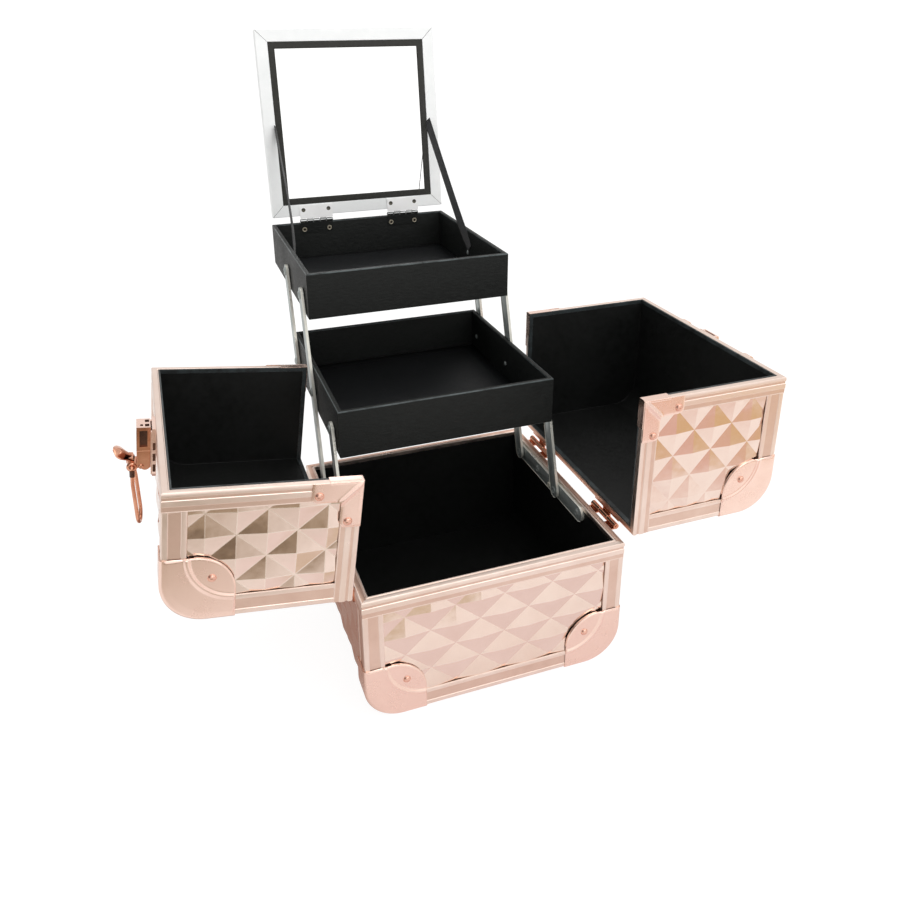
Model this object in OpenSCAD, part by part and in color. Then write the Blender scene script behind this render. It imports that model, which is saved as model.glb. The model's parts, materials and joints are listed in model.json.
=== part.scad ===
// Makeup train case. A box with two half lids that swing out to the sides on butt
// hinges, and two trays and a mirror that rise on cantilever arms.
// X runs left to right, Y front to rear, Z up. The origin is on the floor, under the
// middle of the base. Millimetres. Drawn open, with the trays raised.

/* [Case] */
// Outside width, left to right
case_w = 200; // [196:1:230]
// Outside depth, front to rear
case_d = 195; // [192:1:230]
// Height of the base box
base_h = 102; // [100:1:120]
// Height of the closed lids above the base
lid_h = 120; // [112:1:140]
// Width of the left lid
left_lid_w = 89.7; // [80:0.1:94]
// Gap between closed lids, and under them
closing_gap = 0.6; // [0.4:0.1:1.2]
// Radius of the rounded long edges
edge_r = 28; // [22:1:32]

/* [Lid angles] */
// How far the left lid stands open, in degrees
left_open = 82.4; // [80:0.1:95]
// How far the right lid stands open, in degrees
right_open = 90; // [84:0.5:95]

/* [Metal trim] */
// Thickness of the board in the walls
board_t = 2.6; // [2:0.1:3]
// Thickness of the lining
lining_t = 2; // [1:0.1:2.2]
// Width of the trim along the edges
trim_w = 14.5; // [12:0.5:18]
// Height of the rim round each mouth
rim_w = 13; // [12:0.5:14]
// Length of a corner guard's legs
guard_leg = 45; // [38:1:50]
// Width of a corner guard's legs
guard_arm = 20; // [16:0.5:22]
// Length of a lid bracket's legs
bracket_leg = 32; // [24:1:34]
// Radius of the rivet heads
rivet_head_r = 2.6; // [2:0.1:3]

/* [Case hinges] */
// Distance of each hinge from the middle of the side
hinge_y = 57.5; // [45:0.5:70]
// Length of a hinge barrel
hinge_len = 36; // [28:1:42]
// How far the hinge axis stands off the sides
hinge_off = 4.2; // [4:0.1:5]

/* [Trays] */
// Outside width of a tray
tray_w = 174; // [166:1:175]
// Outside depth of a tray
tray_d = 174; // [166:1:175]
// Height of a tray
tray_h = 38.4; // [32:0.1:39]
// Thickness of the tray walls and floor
tray_t = 3.5; // [2.5:0.1:4]
// Depth of the pivots below the tray's top
pivot_drop = 22; // [18:0.5:24]
// Spacing of the pivots along a tray
pivot_pitch = 70; // [66:1:72]
// Length of one arm section, pivot to pivot
arm_len = 81; // [80:0.1:82]
// Slope of the raised arms, in degrees
arm_slope = 72.5; // [70:0.5:74]
// Width of an arm
arm_w = 12; // [10:0.5:12]
// Height of the base pivots above the floor
base_pivot_z = 94; // [92:0.5:95]
// Distance of the rear base pivots behind the middle
base_pivot_y = 68; // [66:0.5:69]

/* [Mirror lid] */
// Length of the mirror lid, hinge to free edge
mirror_len = 172; // [166:1:174]
// Width of the mirror lid
mirror_w = 172; // [166:1:174]
// Thickness of the mirror lid
mirror_t = 9; // [8:0.5:9]
// Width of the frame rails
rail_w = 11; // [10.5:0.5:16]
// Width of the black bezel
bezel_w = 6.2; // [4:0.1:8]
// How far the mirror lid stands open, in degrees
mirror_open = 98; // [92:1:100]
// Distance of each mirror hinge from the middle
mirror_hinge_x = 44; // [36:1:50]

/* [Latch and handle] */
// Width of the latch housing
latch_w = 14; // [12:1:16]
// Height of the latch housing above the lid
latch_h = 12.2; // [11:0.1:12.5]
// Length of the latch bail
bail_len = 44; // [41:1:45]
// Tilt of the thumb tab above the housing, in degrees
tab_tilt = 40; // [35:1:55]
// Length of the thumb tab
tab_len = 17.5; // [15:0.5:19]
// Distance of each handle pivot from the middle
handle_y = 49; // [44:1:54]
// Reach of the handle from its pivots
handle_reach = 36; // [30:1:42]

/* [Hidden] */
$fn = 64;
far = 400;

// Layers of a wall, as depths in from the outermost plane
bracket_in = 0.2;
trim_in = 1.2;
skin_in = 2.4;
board_in = skin_in + board_t;
inner_in = board_in + lining_t;
half_w = case_w / 2;
half_d = case_d / 2;
cap_t = 1.2;
board_foot_x = half_w - guard_leg - 1;
board_foot_y = half_d - trim_w - 2;

// Lids, in the closed position
lid_z0 = base_h + closing_gap;
lid_z1 = lid_z0 + lid_h;
right_lid_w = case_w - left_lid_w - closing_gap;
hinge_x = half_w + hinge_off;
hinge_z = base_h - 0.5;
barrel_r = 2.3;
hinge_pin_r = 1.1;
run_gap = 0.05;
leaf_t = 1.2;
leaf_h = 11;
knuckle_gap = 0.3;
pin_end = 0.8;
knuckle_edge = hinge_len / 6;
outer_knuckles = [[-hinge_len / 2, -knuckle_edge], [knuckle_edge, hinge_len / 2]];
inner_knuckles = [[-knuckle_edge + knuckle_gap, knuckle_edge - knuckle_gap]];

// Rivets
shank_r = 1.5;
guard_rivet = 30.5;
bracket_near = 8.5;
bracket_far = bracket_leg - 4.5;

// Arms and trays
arm_in = tray_w / 2 + 1.4;
arm_t = 1.8;
arm_out = arm_in + arm_t;
rail_t = 1.9;
rail_out = half_w - inner_in;
rail_in = rail_out - rail_t;
rail_h = 13;
rail_front = -46;
rail_back = base_pivot_y + 7;
pin_r = 2;
pin_head_r = 3.4;
pin_head_t = 0.9;
open_gap = 0.3;
rear_pin = tray_d - 16;
mid_pin = rear_pin - pivot_pitch;
front_pin = mid_pin - pivot_pitch;
mid_pins = [front_pin, mid_pin, rear_pin];
top_pins = [front_pin, mid_pin];
arm_dy = arm_len * cos(arm_slope);
arm_dz = arm_len * sin(arm_slope);
mid_front = base_pivot_y + arm_dy - mid_pin;
mid_top = base_pivot_z + arm_dz + pivot_drop;
top_front = base_pivot_y + 2 * arm_dy - front_pin;
top_top = base_pivot_z + 2 * arm_dz + pivot_drop;
inner_tray = tray_w / 2 - tray_t;
stop_r = 2.5;
stop_y = base_pivot_y - pivot_pitch + (arm_w / 2 + stop_r + 0.05) / sin(arm_slope);

// Mirror lid: its hinge axis runs along the rear wall's inner top edge
mirror_axis_y = top_front + tray_d - tray_t;
mirror_axis_z = top_top + 2;
mirror_in_z = -1.5;
mirror_out_z = mirror_in_z + mirror_t;
mirror_rear = -5;
mirror_front = mirror_rear - mirror_len;
mirror_leaf_w = 32;
mirror_barrel_r = 1.8;
mirror_pin_r = 0.9;
mirror_leaf_t = 1;
mirror_leaf_len = 15;
mirror_clear = 0.15;
fifth = mirror_leaf_w / 5;
tie_r = 1.2;
tie_head_r = 2.2;
tie_head_t = 0.6;
tie_bore = 1.25;
lower_leaf_h = 12;
glass_t = 2;
bezel_t = 0.9;
stay_w = 8;
stay_t = 0.8;
stay_head_y = -88;
stay_head_z = -5.2;
stay_foot_y = mirror_axis_y - 88;
stay_foot_z = top_top - 15;
tie_x = 12.3;
screw_y = -10.6;
tie_z = -8.5;

// Latch, as distances along the left lid's top from the split, and heights above it
latch_start = 1;
plate_t = 3.4;
plate_half = 10;
plate_end = 38.2;
housing_end = 32.5;
lever_u = 29.6;
lever_w = 9.4;
lever_pin_r = 1.5;
lever_r = 2.2;
lever_half = 5;
lever_gap = 0.4;
lever_slot = 18;
channel_floor = 1.2;
channel_roof = 2.2;
bail_u = 31.1;
bail_w = 15.1;
bail_r = 2.9;
bail_wire_r = 1.1;
bail_half = 7.6;
bail_tilt = 7;
tab_t = 2;
tab_tip_r = 5.5;
split_left = -half_w + left_lid_w;
split_right = half_w - right_lid_w;
top_z = lid_z1 - trim_in;

// Catch and handle, in the same way on the right lid
catch_len = 18;
catch_half = 11;
catch_t = 1;
hook_len = 9;
hook_half = 9;
hook_h = 6;
hook_open = 6.5;
hook_low = 1.6;
hook_top = 4.2;
handle_u = -split_right;
handle_w = 8;
handle_rod_r = 2.2;
handle_bend = 6;
handle_foot_t = 1.2;
handle_foot_len = 20;
handle_foot_half = 13;
ear_r = 5;
ear_near = 3.4;
ear_far = 11;
grip_r = 6;
grip_half = handle_y - 12;

rose = "#e4cbba";
rose_deep = "#ecc2af";
skin_gold = "#f0d8c8";
copper = "#c8785a";
black_vinyl = "#262828";
steel = "#96a09e";

// ---------- helpers ----------

module block(x0, x1, y0, y1, z0, z1) {
    translate([x0, y0, z0])
        cube([x1 - x0, y1 - y0, z1 - z0]);
}

// Extrudes an X-Z outline from y0 to y1
module along_y(y0, y1) {
    translate([0, y1, 0])
        rotate([90, 0, 0])
            linear_extrude(y1 - y0)
                children();
}

// Extrudes a Y-Z outline from x0 to x1
module along_x(x0, x1) {
    translate([x0, 0, 0])
        rotate([90, 0, 90])
            linear_extrude(x1 - x0)
                children();
}

// A rod along X
module rod_x(x0, x1, y, z, r) {
    translate([x0, y, z])
        rotate([0, 90, 0])
            cylinder(h = x1 - x0, r = r);
}

// A rod along Y
module rod_y(y0, y1, x, z, r) {
    translate([x, y1, z])
        rotate([90, 0, 0])
            cylinder(h = y1 - y0, r = r);
}

module left_and_right() {
    children();
    mirror([1, 0, 0])
        children();
}

module front_and_rear() {
    children();
    mirror([0, 1, 0])
        children();
}

// What a rounded corner takes off a square one, with the corner's point at the origin
module corner_waste(r) {
    translate([-r, -r])
        difference() {
            square(r + 1);
            circle(r);
        }
}

// ---------- base shell ----------

// The base's outline seen from the front, a given depth in from its outermost plane
module base_outline(depth, top) {
    r = edge_r - depth;
    difference() {
        translate([-half_w + depth, depth])
            square([case_w - 2 * depth, top - depth]);
        for (side = [0, 1])
            mirror([side, 0])
                translate([half_w - depth, depth])
                    mirror([0, 1])
                        corner_waste(r);
    }
}

module base_wrap() {
    color(skin_gold)
        difference() {
            along_y(-half_d + board_in, half_d - board_in)
                base_outline(skin_in, base_h - cap_t);
            along_y(-half_d, half_d)
                base_outline(board_in, base_h + 1);
        }
    // The bottom board stands out flush with the corner guards' undersides
    color(skin_gold)
        block(-board_foot_x, board_foot_x, -board_foot_y, board_foot_y, 0, board_in);
}

module base_end_panel() {
    difference() {
        along_y(-half_d + skin_in, -half_d + board_in)
            base_outline(skin_in, base_h - cap_t);
        left_and_right()
            rod_y(-half_d, -half_d + board_in + 1, half_w - guard_rivet, guard_rivet,
                shank_r + run_gap);
    }
}

module base_front_panel() {
    color(skin_gold)
        base_end_panel();
}

module base_rear_panel() {
    color(skin_gold)
        mirror([0, 1, 0])
            base_end_panel();
}

module base_lining() {
    color(black_vinyl)
        difference() {
            along_y(-half_d + board_in, half_d - board_in)
                base_outline(board_in, base_h - cap_t);
            along_y(-half_d + inner_in, half_d - inner_in)
                base_outline(inner_in, base_h + 1);
        }
}

module base_rim() {
    color(rose)
        difference() {
            block(-half_w + trim_in, half_w - trim_in, -half_d + trim_in, half_d - trim_in,
                base_h - rim_w, base_h);
            block(-half_w + skin_in, half_w - skin_in, -half_d + skin_in, half_d - skin_in,
                base_h - rim_w - 1, base_h - cap_t);
            block(-half_w + inner_in, half_w - inner_in, -half_d + inner_in,
                half_d - inner_in, base_h - rim_w - 1, base_h + 1);
        }
}

// An angle section in the X-Y plane, its outer corner at the given point
module corner_angle(x, y, z0, z1) {
    translate([x, y, z0])
        linear_extrude(z1 - z0)
            difference() {
                square(trim_w);
                translate([skin_in - trim_in, skin_in - trim_in])
                    square(trim_w);
            }
}

module base_trims() {
    color(rose)
        front_and_rear() {
            left_and_right()
                corner_angle(-half_w + trim_in, -half_d + trim_in, guard_leg, base_h - rim_w);
            bottom_angle(-half_w + guard_leg, half_w - guard_leg);
        }
}

module bottom_angle(x0, x1) {
    along_x(x0, x1)
        translate([-half_d + trim_in, trim_in])
            difference() {
                square(trim_w);
                translate([skin_in - trim_in, skin_in - trim_in])
                    square(trim_w);
            }
}

// Outline of a corner guard's face, with the case's sharp corner at the origin
module guard_face_outline() {
    difference() {
        union() {
            square([guard_arm, guard_leg]);
            square([guard_leg, guard_arm]);
            intersection() {
                translate([guard_arm, guard_arm])
                    circle(guard_leg - guard_arm);
                square(guard_leg);
            }
        }
        rotate(180)
            corner_waste(edge_r);
    }
}

// The part of a guard that wraps round the edge
module guard_flange_outline() {
    difference() {
        square(guard_leg);
        rotate(180)
            corner_waste(edge_r);
        translate([skin_in, skin_in])
            difference() {
                square(guard_leg);
                rotate(180)
                    corner_waste(edge_r - skin_in);
            }
    }
}

// A corner guard at the front lower left of a box whose corner is the origin
module corner_guard() {
    flange = 18;
    difference() {
        union() {
            along_y(0, skin_in)
                guard_face_outline();
            along_y(skin_in, flange)
                guard_flange_outline();
        }
        rod_y(-1, skin_in + 1, guard_rivet, guard_rivet, shank_r + run_gap);
    }
}

module base_corner_guards() {
    color(rose_deep)
        front_and_rear()
            left_and_right()
                translate([-half_w, -half_d, 0])
                    corner_guard();
}

// A dome-headed rivet whose head sits on the plane y = face and points to -Y
module rivet(x, face, z, end) {
    dome = 1.5;
    ball_r = (rivet_head_r * rivet_head_r + dome * dome) / (2 * dome);
    rod_y(face, end, x, z, shank_r);
    translate([x, face, z])
        rotate([90, 0, 0])
            intersection() {
                translate([0, 0, dome - ball_r])
                    sphere(ball_r);
                cylinder(h = dome + 1, r = rivet_head_r + 1);
            }
}

module base_rivets() {
    color(rose_deep)
        front_and_rear()
            left_and_right()
                rivet(half_w - guard_rivet, -half_d, guard_rivet, -half_d + board_in);
}

// ---------- lids, drawn closed and on the right ----------

// A lid's outline seen from the front
module lid_outline(depth, split, lift) {
    r = edge_r - depth;
    difference() {
        translate([split, lid_z0 + lift])
            square([half_w - depth - split, lid_z1 - depth - lid_z0 - lift]);
        translate([half_w - depth, lid_z1 - depth])
            corner_waste(r);
    }
}

module lid_wrap(split) {
    difference() {
        along_y(-half_d + board_in, half_d - board_in)
            lid_outline(skin_in, split + cap_t, cap_t);
        along_y(-half_d, half_d)
            lid_outline(board_in, split - 1, -1);
    }
}

module lid_rivet_holes(split, depth) {
    rod_y(-half_d - 1, -half_d + depth, half_w - guard_rivet, lid_z1 - guard_rivet,
        shank_r + run_gap);
    rod_y(-half_d - 1, -half_d + depth, split + bracket_near, lid_z0 + bracket_far,
        shank_r + run_gap);
    rod_y(-half_d - 1, -half_d + depth, split + bracket_far, lid_z0 + bracket_near,
        shank_r + run_gap);
}

module lid_end_panel(split) {
    difference() {
        along_y(-half_d + skin_in, -half_d + board_in)
            lid_outline(skin_in, split + cap_t, cap_t);
        lid_rivet_holes(split, board_in + 1);
    }
}

module lid_lining(split) {
    difference() {
        along_y(-half_d + board_in, half_d - board_in)
            lid_outline(board_in, split + cap_t, cap_t);
        along_y(-half_d + inner_in, half_d - inner_in)
            lid_outline(inner_in, split - 1, -1);
    }
}

module lid_rim(split) {
    difference() {
        block(split, half_w - trim_in, -half_d + trim_in, half_d - trim_in, lid_z0,
            lid_z1 - trim_in);
        block(split + cap_t, half_w - skin_in, -half_d + skin_in, half_d - skin_in,
            lid_z0 + cap_t, lid_z1 - skin_in);
        block(split - 1, half_w - inner_in, -half_d + inner_in, half_d - inner_in,
            lid_z0 - 1, lid_z1 - inner_in);
        block(split + rim_w, half_w, -half_d, half_d, lid_z0 + rim_w, lid_z1);
        front_and_rear()
            lid_rivet_holes(split, skin_in + 1);
    }
}

module lid_trims(split) {
    front_and_rear() {
        translate([half_w - trim_in, -half_d + trim_in, 0])
            mirror([1, 0, 0])
                corner_angle(0, 0, lid_z0 + rim_w, lid_z1 - guard_leg);
        translate([0, 0, lid_z1])
            mirror([0, 0, 1])
                bottom_angle(split + rim_w, half_w - guard_leg);
    }
}

module lid_corner_guards() {
    front_and_rear()
        translate([half_w, -half_d, lid_z1])
            mirror([0, 0, 1])
                mirror([1, 0, 0])
                    corner_guard();
}

module lid_brackets(split) {
    front_and_rear()
        difference() {
            along_y(-half_d + bracket_in, -half_d + trim_in)
                translate([split, lid_z0])
                    difference() {
                        square(bracket_leg);
                        translate([trim_w - 1, trim_w - 1])
                            square(bracket_leg);
                    }
            lid_rivet_holes(split, board_in);
        }
}

module lid_rivets(split) {
    front_and_rear() {
        rivet(half_w - guard_rivet, -half_d, lid_z1 - guard_rivet, -half_d + board_in);
        rivet(split + bracket_near, -half_d + bracket_in, lid_z0 + bracket_far,
            -half_d + board_in);
        rivet(split + bracket_far, -half_d + bracket_in, lid_z0 + bracket_near,
            -half_d + board_in);
    }
}

// Puts a lid drawn closed at its open position
module open_right() {
    translate([hinge_x, 0, hinge_z])
        rotate([0, right_open, 0])
            translate([-hinge_x, 0, -hinge_z])
                children();
}

module open_left() {
    translate([-hinge_x, 0, hinge_z])
        rotate([0, -left_open, 0])
            translate([hinge_x, 0, -hinge_z])
                children();
}

// A left lid part, drawn as a right one and turned over
module as_left() {
    open_left()
        mirror([1, 0, 0])
            children();
}

module left_wrap() {
    color(skin_gold)
        as_left()
            lid_wrap(-split_left);
}

module left_front_panel() {
    color(skin_gold)
        as_left()
            lid_end_panel(-split_left);
}

module left_rear_panel() {
    color(skin_gold)
        as_left()
            mirror([0, 1, 0])
                lid_end_panel(-split_left);
}

module left_lining() {
    color(black_vinyl)
        as_left()
            lid_lining(-split_left);
}

module left_rim() {
    color(rose)
        as_left()
            lid_rim(-split_left);
}

module left_trims() {
    color(rose)
        as_left()
            lid_trims(-split_left);
}

module left_corner_guards() {
    color(rose_deep)
        as_left()
            lid_corner_guards();
}

module left_brackets() {
    color(rose_deep)
        as_left()
            lid_brackets(-split_left);
}

module left_rivets() {
    color(rose_deep)
        as_left()
            lid_rivets(-split_left);
}

module right_wrap() {
    color(skin_gold)
        open_right()
            lid_wrap(split_right);
}

module right_front_panel() {
    color(skin_gold)
        open_right()
            lid_end_panel(split_right);
}

module right_rear_panel() {
    color(skin_gold)
        open_right()
            mirror([0, 1, 0])
                lid_end_panel(split_right);
}

module right_lining() {
    color(black_vinyl)
        open_right()
            lid_lining(split_right);
}

module right_rim() {
    color(rose)
        open_right()
            lid_rim(split_right);
}

module right_trims() {
    color(rose)
        open_right()
            lid_trims(split_right);
}

module right_corner_guards() {
    color(rose_deep)
        open_right()
            lid_corner_guards();
}

module right_brackets() {
    color(rose_deep)
        open_right()
            lid_brackets(split_right);
}

module right_rivets() {
    color(rose_deep)
        open_right()
            lid_rivets(split_right);
}

// ---------- case hinges ----------

// Half of a butt hinge on the right side: the leaf hangs below the axis.
// spans holds the [start, end] of each knuckle along the barrel.
module hinge_half(spans) {
    plane = half_w - trim_in;
    for (s = spans)
        difference() {
            union() {
                rod_y(s[0], s[1], hinge_x, hinge_z, barrel_r);
                block(plane, hinge_x, s[0], s[1], hinge_z - barrel_r, hinge_z - barrel_r + leaf_t);
            }
            rod_y(s[0] - 1, s[1] + 1, hinge_x, hinge_z, hinge_pin_r + run_gap);
        }
    block(plane, plane + leaf_t, -hinge_len / 2, hinge_len / 2,
        hinge_z - barrel_r - leaf_h, hinge_z - barrel_r + leaf_t);
}

module at_hinges() {
    front_and_rear()
        translate([0, hinge_y, 0])
            children();
}

module base_hinge_leaves() {
    color(copper)
        left_and_right()
            at_hinges()
                hinge_half(outer_knuckles);
}

module case_hinge_pins() {
    color(copper)
        left_and_right()
            at_hinges()
                rod_y(-hinge_len / 2 - pin_end, hinge_len / 2 + pin_end, hinge_x, hinge_z,
                    hinge_pin_r);
}

module lid_hinge_leaves() {
    at_hinges()
        translate([0, 0, 2 * hinge_z])
            mirror([0, 0, 1])
                hinge_half(inner_knuckles);
}

module left_hinge_leaves() {
    color(copper)
        as_left()
            lid_hinge_leaves();
}

module right_hinge_leaves() {
    color(copper)
        open_right()
            lid_hinge_leaves();
}

// ---------- latch, on the left lid's top, drawn closed ----------
// u runs from the split towards the left, w up from the top face.

module latch_frame() {
    open_left()
        translate([split_left, 0, top_z])
            mirror([1, 0, 0])
                children();
}

module latch_plate() {
    color(rose_deep)
        latch_frame()
            block(latch_start, plate_end, -plate_half, plate_half, 0, plate_t);
}

module latch_housing() {
    low = plate_t + channel_floor;
    side = lever_half + lever_gap;
    color(copper)
        latch_frame()
            difference() {
                block(latch_start, housing_end, -latch_w / 2, latch_w / 2, plate_t, latch_h);
                block(0, housing_end + 1, -side, side, low, latch_h - channel_roof);
                block(lever_slot, housing_end + 1, -side, side, low, latch_h + 1);
                rod_y(-latch_w, latch_w, lever_u, lever_w, lever_pin_r + run_gap);
            }
}

// Lever: two cheeks, a pin, and a thumb tab that leans back over the housing
module latch_lever() {
    pin_half = latch_w / 2 + pin_end;
    color(copper)
        latch_frame() {
            difference() {
                union() {
                    rod_y(-lever_half, lever_half, lever_u, lever_w, lever_r);
                    rod_y(-lever_half, lever_half, bail_u, bail_w, bail_r);
                    block(lever_u - 1.6, lever_u + lever_r, -lever_half, lever_half, lever_w, bail_w);
                    translate([bail_u, 0, bail_w])
                        rotate([0, tab_tilt, 0])
                            translate([0, 0, -1.2])
                                thumb_tab();
                }
                rod_y(-far, far, bail_u, bail_w, bail_wire_r + run_gap);
                rod_y(-far, far, lever_u, lever_w, lever_pin_r);
            }
            rod_y(-pin_half, pin_half, lever_u, lever_w, lever_pin_r);
        }
}

// A flat tab, narrow at its root and round at its tip, along -X
module thumb_tab() {
    linear_extrude(tab_t)
        hull() {
            translate([-tab_len + tab_tip_r, 0])
                circle(tab_tip_r, $fn = 32);
            translate([0, -lever_half + 1])
                square([1, 2 * lever_half - 2]);
        }
}

// A wire loop that hangs from the lever
module latch_bail() {
    leg = bail_len - bail_half;
    bar = lever_half + lever_gap;
    color(copper)
        latch_frame()
            translate([bail_u, 0, bail_w])
                rotate([0, bail_tilt, 0]) {
                    front_and_rear() {
                        rod_y(bar - 0.1, bail_half, 0, 0, bail_wire_r);
                        translate([0, bail_half, 0])
                            sphere(bail_wire_r);
                        rod_x(0, leg, bail_half, 0, bail_wire_r);
                    }
                    rod_y(-bar, bar, 0, 0, bail_wire_r);
                    translate([leg, 0, 0])
                        rotate([0, 0, -90])
                            rotate_extrude(angle = 180)
                                translate([bail_half, 0])
                                    circle(bail_wire_r);
                }
}

// ---------- catch and handle, on the right lid's top, drawn closed ----------

module right_top_frame() {
    open_right()
        translate([split_right, 0, top_z])
            children();
}

module latch_catch() {
    color(rose_deep)
        right_top_frame()
            difference() {
                union() {
                    block(0, catch_len, -catch_half, catch_half, 0, catch_t);
                    block(1, hook_len, -hook_half, hook_half, catch_t, hook_h);
                }
                block(-1, hook_len - 2, -hook_open, hook_open, hook_low, hook_top);
            }
}

module handle_brackets() {
    near = handle_y - ear_near;
    away = handle_y - ear_far;
    color(rose_deep)
        right_top_frame()
            front_and_rear()
                difference() {
                    union() {
                        block(1, handle_foot_len, handle_y - handle_foot_half,
                            handle_y + handle_foot_half, 0, handle_foot_t);
                        block(handle_u - ear_r, handle_u + ear_r, away, near, handle_foot_t,
                            handle_w);
                        rod_y(away, near, handle_u, handle_w, ear_r);
                    }
                    rod_y(away - 1, near + 1, handle_u, handle_w, handle_rod_r + run_gap);
                }
}

// The handle's metal bow lies along the lid, away from the split
module handle_bail() {
    reach = handle_u + handle_reach;
    color(copper)
        right_top_frame()
            front_and_rear() {
                rod_y(handle_y - 10, handle_y, handle_u, handle_w, handle_rod_r);
                translate([handle_u, handle_y, handle_w])
                    sphere(handle_rod_r);
                rod_x(handle_u, reach - handle_bend, handle_y, handle_w, handle_rod_r);
                translate([reach - handle_bend, handle_y - handle_bend, handle_w])
                    rotate_extrude(angle = 90)
                        translate([handle_bend, 0])
                            circle(handle_rod_r);
                rod_y(grip_half, handle_y - handle_bend, reach, handle_w, handle_rod_r);
            }
}

module handle_grip() {
    color(black_vinyl)
        right_top_frame()
            rod_y(-grip_half, grip_half, handle_u + handle_reach, handle_w, grip_r);
}

// ---------- arms ----------

module tray_rails() {
    color(steel)
        left_and_right()
            difference() {
                along_x(rail_in, rail_out) {
                    translate([rail_front + rail_h / 2, base_pivot_z - rail_h / 2])
                        square([rail_back - rail_front - rail_h, rail_h]);
                    translate([rail_front + rail_h / 2, base_pivot_z])
                        circle(rail_h / 2);
                    translate([rail_back - rail_h / 2, base_pivot_z])
                        circle(rail_h / 2);
                }
                for (y = [base_pivot_y, base_pivot_y - pivot_pitch])
                    rod_x(rail_in - 1, rail_out + 1, y, base_pivot_z, pin_r + run_gap);
            }
}

// Base pivot pins, fixing rivets and the post that stops the raised arms
module rail_studs() {
    color(steel)
        left_and_right() {
            for (y = [base_pivot_y, base_pivot_y - pivot_pitch])
                pivot_pin(y, base_pivot_z, rail_out, arm_in - 0.2);
            for (y = [base_pivot_y - 34, base_pivot_y - 106])
                rod_x(rail_in - 1.2, rail_in, y, base_pivot_z, 3);
            rod_x(arm_in, rail_in, stop_y, base_pivot_z, stop_r);
        }
}

// A pin from the outer end to the inner one, with a head inside
module pivot_pin(y, z, outer, inner) {
    rod_x(inner - pin_head_t, outer, y, z, pin_r);
    rod_x(inner - pin_head_t, inner, y, z, pin_head_r);
}

// A flat arm from a lower pivot, with bores at the given distances along it
module arm(y, z, length, bores) {
    translate([0, y, z])
        rotate([arm_slope, 0, 0])
            difference() {
                along_x(arm_in, arm_out) {
                    translate([0, -arm_w / 2])
                        square([length, arm_w]);
                    circle(arm_w / 2);
                    translate([length, 0])
                        circle(arm_w / 2);
                }
                for (b = bores)
                    rod_x(arm_in - 1, arm_out + 1, b[0], 0, pin_r + b[1]);
            }
}

module long_arms() {
    color(steel)
        left_and_right()
            arm(base_pivot_y, base_pivot_z, 2 * arm_len,
                [[0, run_gap], [arm_len, run_gap], [2 * arm_len, run_gap]]);
}

module lower_arms() {
    color(steel)
        left_and_right()
            arm(base_pivot_y - pivot_pitch, base_pivot_z, arm_len,
                [[0, run_gap], [arm_len, open_gap]]);
}

module upper_arms() {
    color(steel)
        left_and_right()
            arm(mid_front + rear_pin, mid_top - pivot_drop, arm_len,
                [[0, run_gap], [arm_len, open_gap]]);
}

// ---------- trays ----------

module tray_box(front, top, pins) {
    difference() {
        block(-tray_w / 2, tray_w / 2, front, front + tray_d, top - tray_h, top);
        block(-inner_tray, inner_tray, front + tray_t, front + tray_d - tray_t,
            top - tray_h + tray_t, top + 1);
        for (y = pins)
            rod_x(-tray_w, tray_w, front + y, top - pivot_drop, pin_r + run_gap);
    }
}

module tray_floor(front, top) {
    block(-inner_tray, inner_tray, front + tray_t, front + tray_d - tray_t,
        top - tray_h + tray_t, top - tray_h + tray_t + 1);
}

module tray_pins(front, top, pins) {
    left_and_right()
        for (y = pins) {
            pivot_pin(front + y, top - pivot_drop, arm_out + 0.1, inner_tray);
            rod_x(arm_out + 0.1, arm_out + 0.8, front + y, top - pivot_drop, pin_head_r);
        }
}

module mid_tray() {
    color(black_vinyl)
        tray_box(mid_front, mid_top, mid_pins);
}

module mid_tray_floor() {
    color(black_vinyl)
        tray_floor(mid_front, mid_top);
}

module mid_tray_pins() {
    color(steel)
        tray_pins(mid_front, mid_top, mid_pins);
}

module top_tray() {
    color(black_vinyl)
        tray_box(top_front, top_top, top_pins);
}

module top_tray_floor() {
    color(black_vinyl)
        tray_floor(top_front, top_top);
}

module top_tray_pins() {
    color(steel)
        tray_pins(top_front, top_top, top_pins);
}

// ---------- mirror lid ----------

// Draws in the mirror lid's own closed frame: X across, Y back, Z out, axis at the origin
module mirror_frame_at() {
    translate([0, mirror_axis_y, mirror_axis_z])
        rotate([-mirror_open, 0, 0])
            children();
}

module at_mirror_hinges() {
    left_and_right()
        translate([mirror_hinge_x, 0, 0])
            children();
}

// One mitred rail along X, its outer edge on y = 0
module mitred_rail(length) {
    translate([0, 0, mirror_in_z])
        linear_extrude(mirror_t)
            polygon([
                [-length / 2, 0],
                [length / 2, 0],
                [length / 2 - rail_w, -rail_w],
                [-length / 2 + rail_w, -rail_w]
            ]);
}

module mirror_frame() {
    gap = 0.02;
    mid = (mirror_rear + mirror_front) / 2;
    color("#e8ecec")
        mirror_frame_at() {
            translate([0, mirror_rear, 0])
                mitred_rail(mirror_w);
            translate([0, mirror_front, 0])
                mirror([0, 1, 0])
                    mitred_rail(mirror_w);
            left_and_right()
                translate([mirror_w / 2 + gap, mid, 0])
                    rotate([0, 0, -90])
                        mitred_rail(mirror_len);
        }
}

module mirror_panel(margin, z0, z1) {
    block(-mirror_w / 2 + margin, mirror_w / 2 - margin, mirror_front + margin,
        mirror_rear - margin, z0, z1);
}

module mirror_backing() {
    color(black_vinyl)
        mirror_frame_at()
            mirror_panel(rail_w + 0.1, mirror_in_z + bezel_t + glass_t + 0.4, mirror_out_z - 0.4);
}

module mirror_glass() {
    color("white")
        mirror_frame_at()
            mirror_panel(rail_w + 0.1, mirror_in_z + bezel_t + 0.4,
                mirror_in_z + bezel_t + glass_t + 0.4);
}

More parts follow.
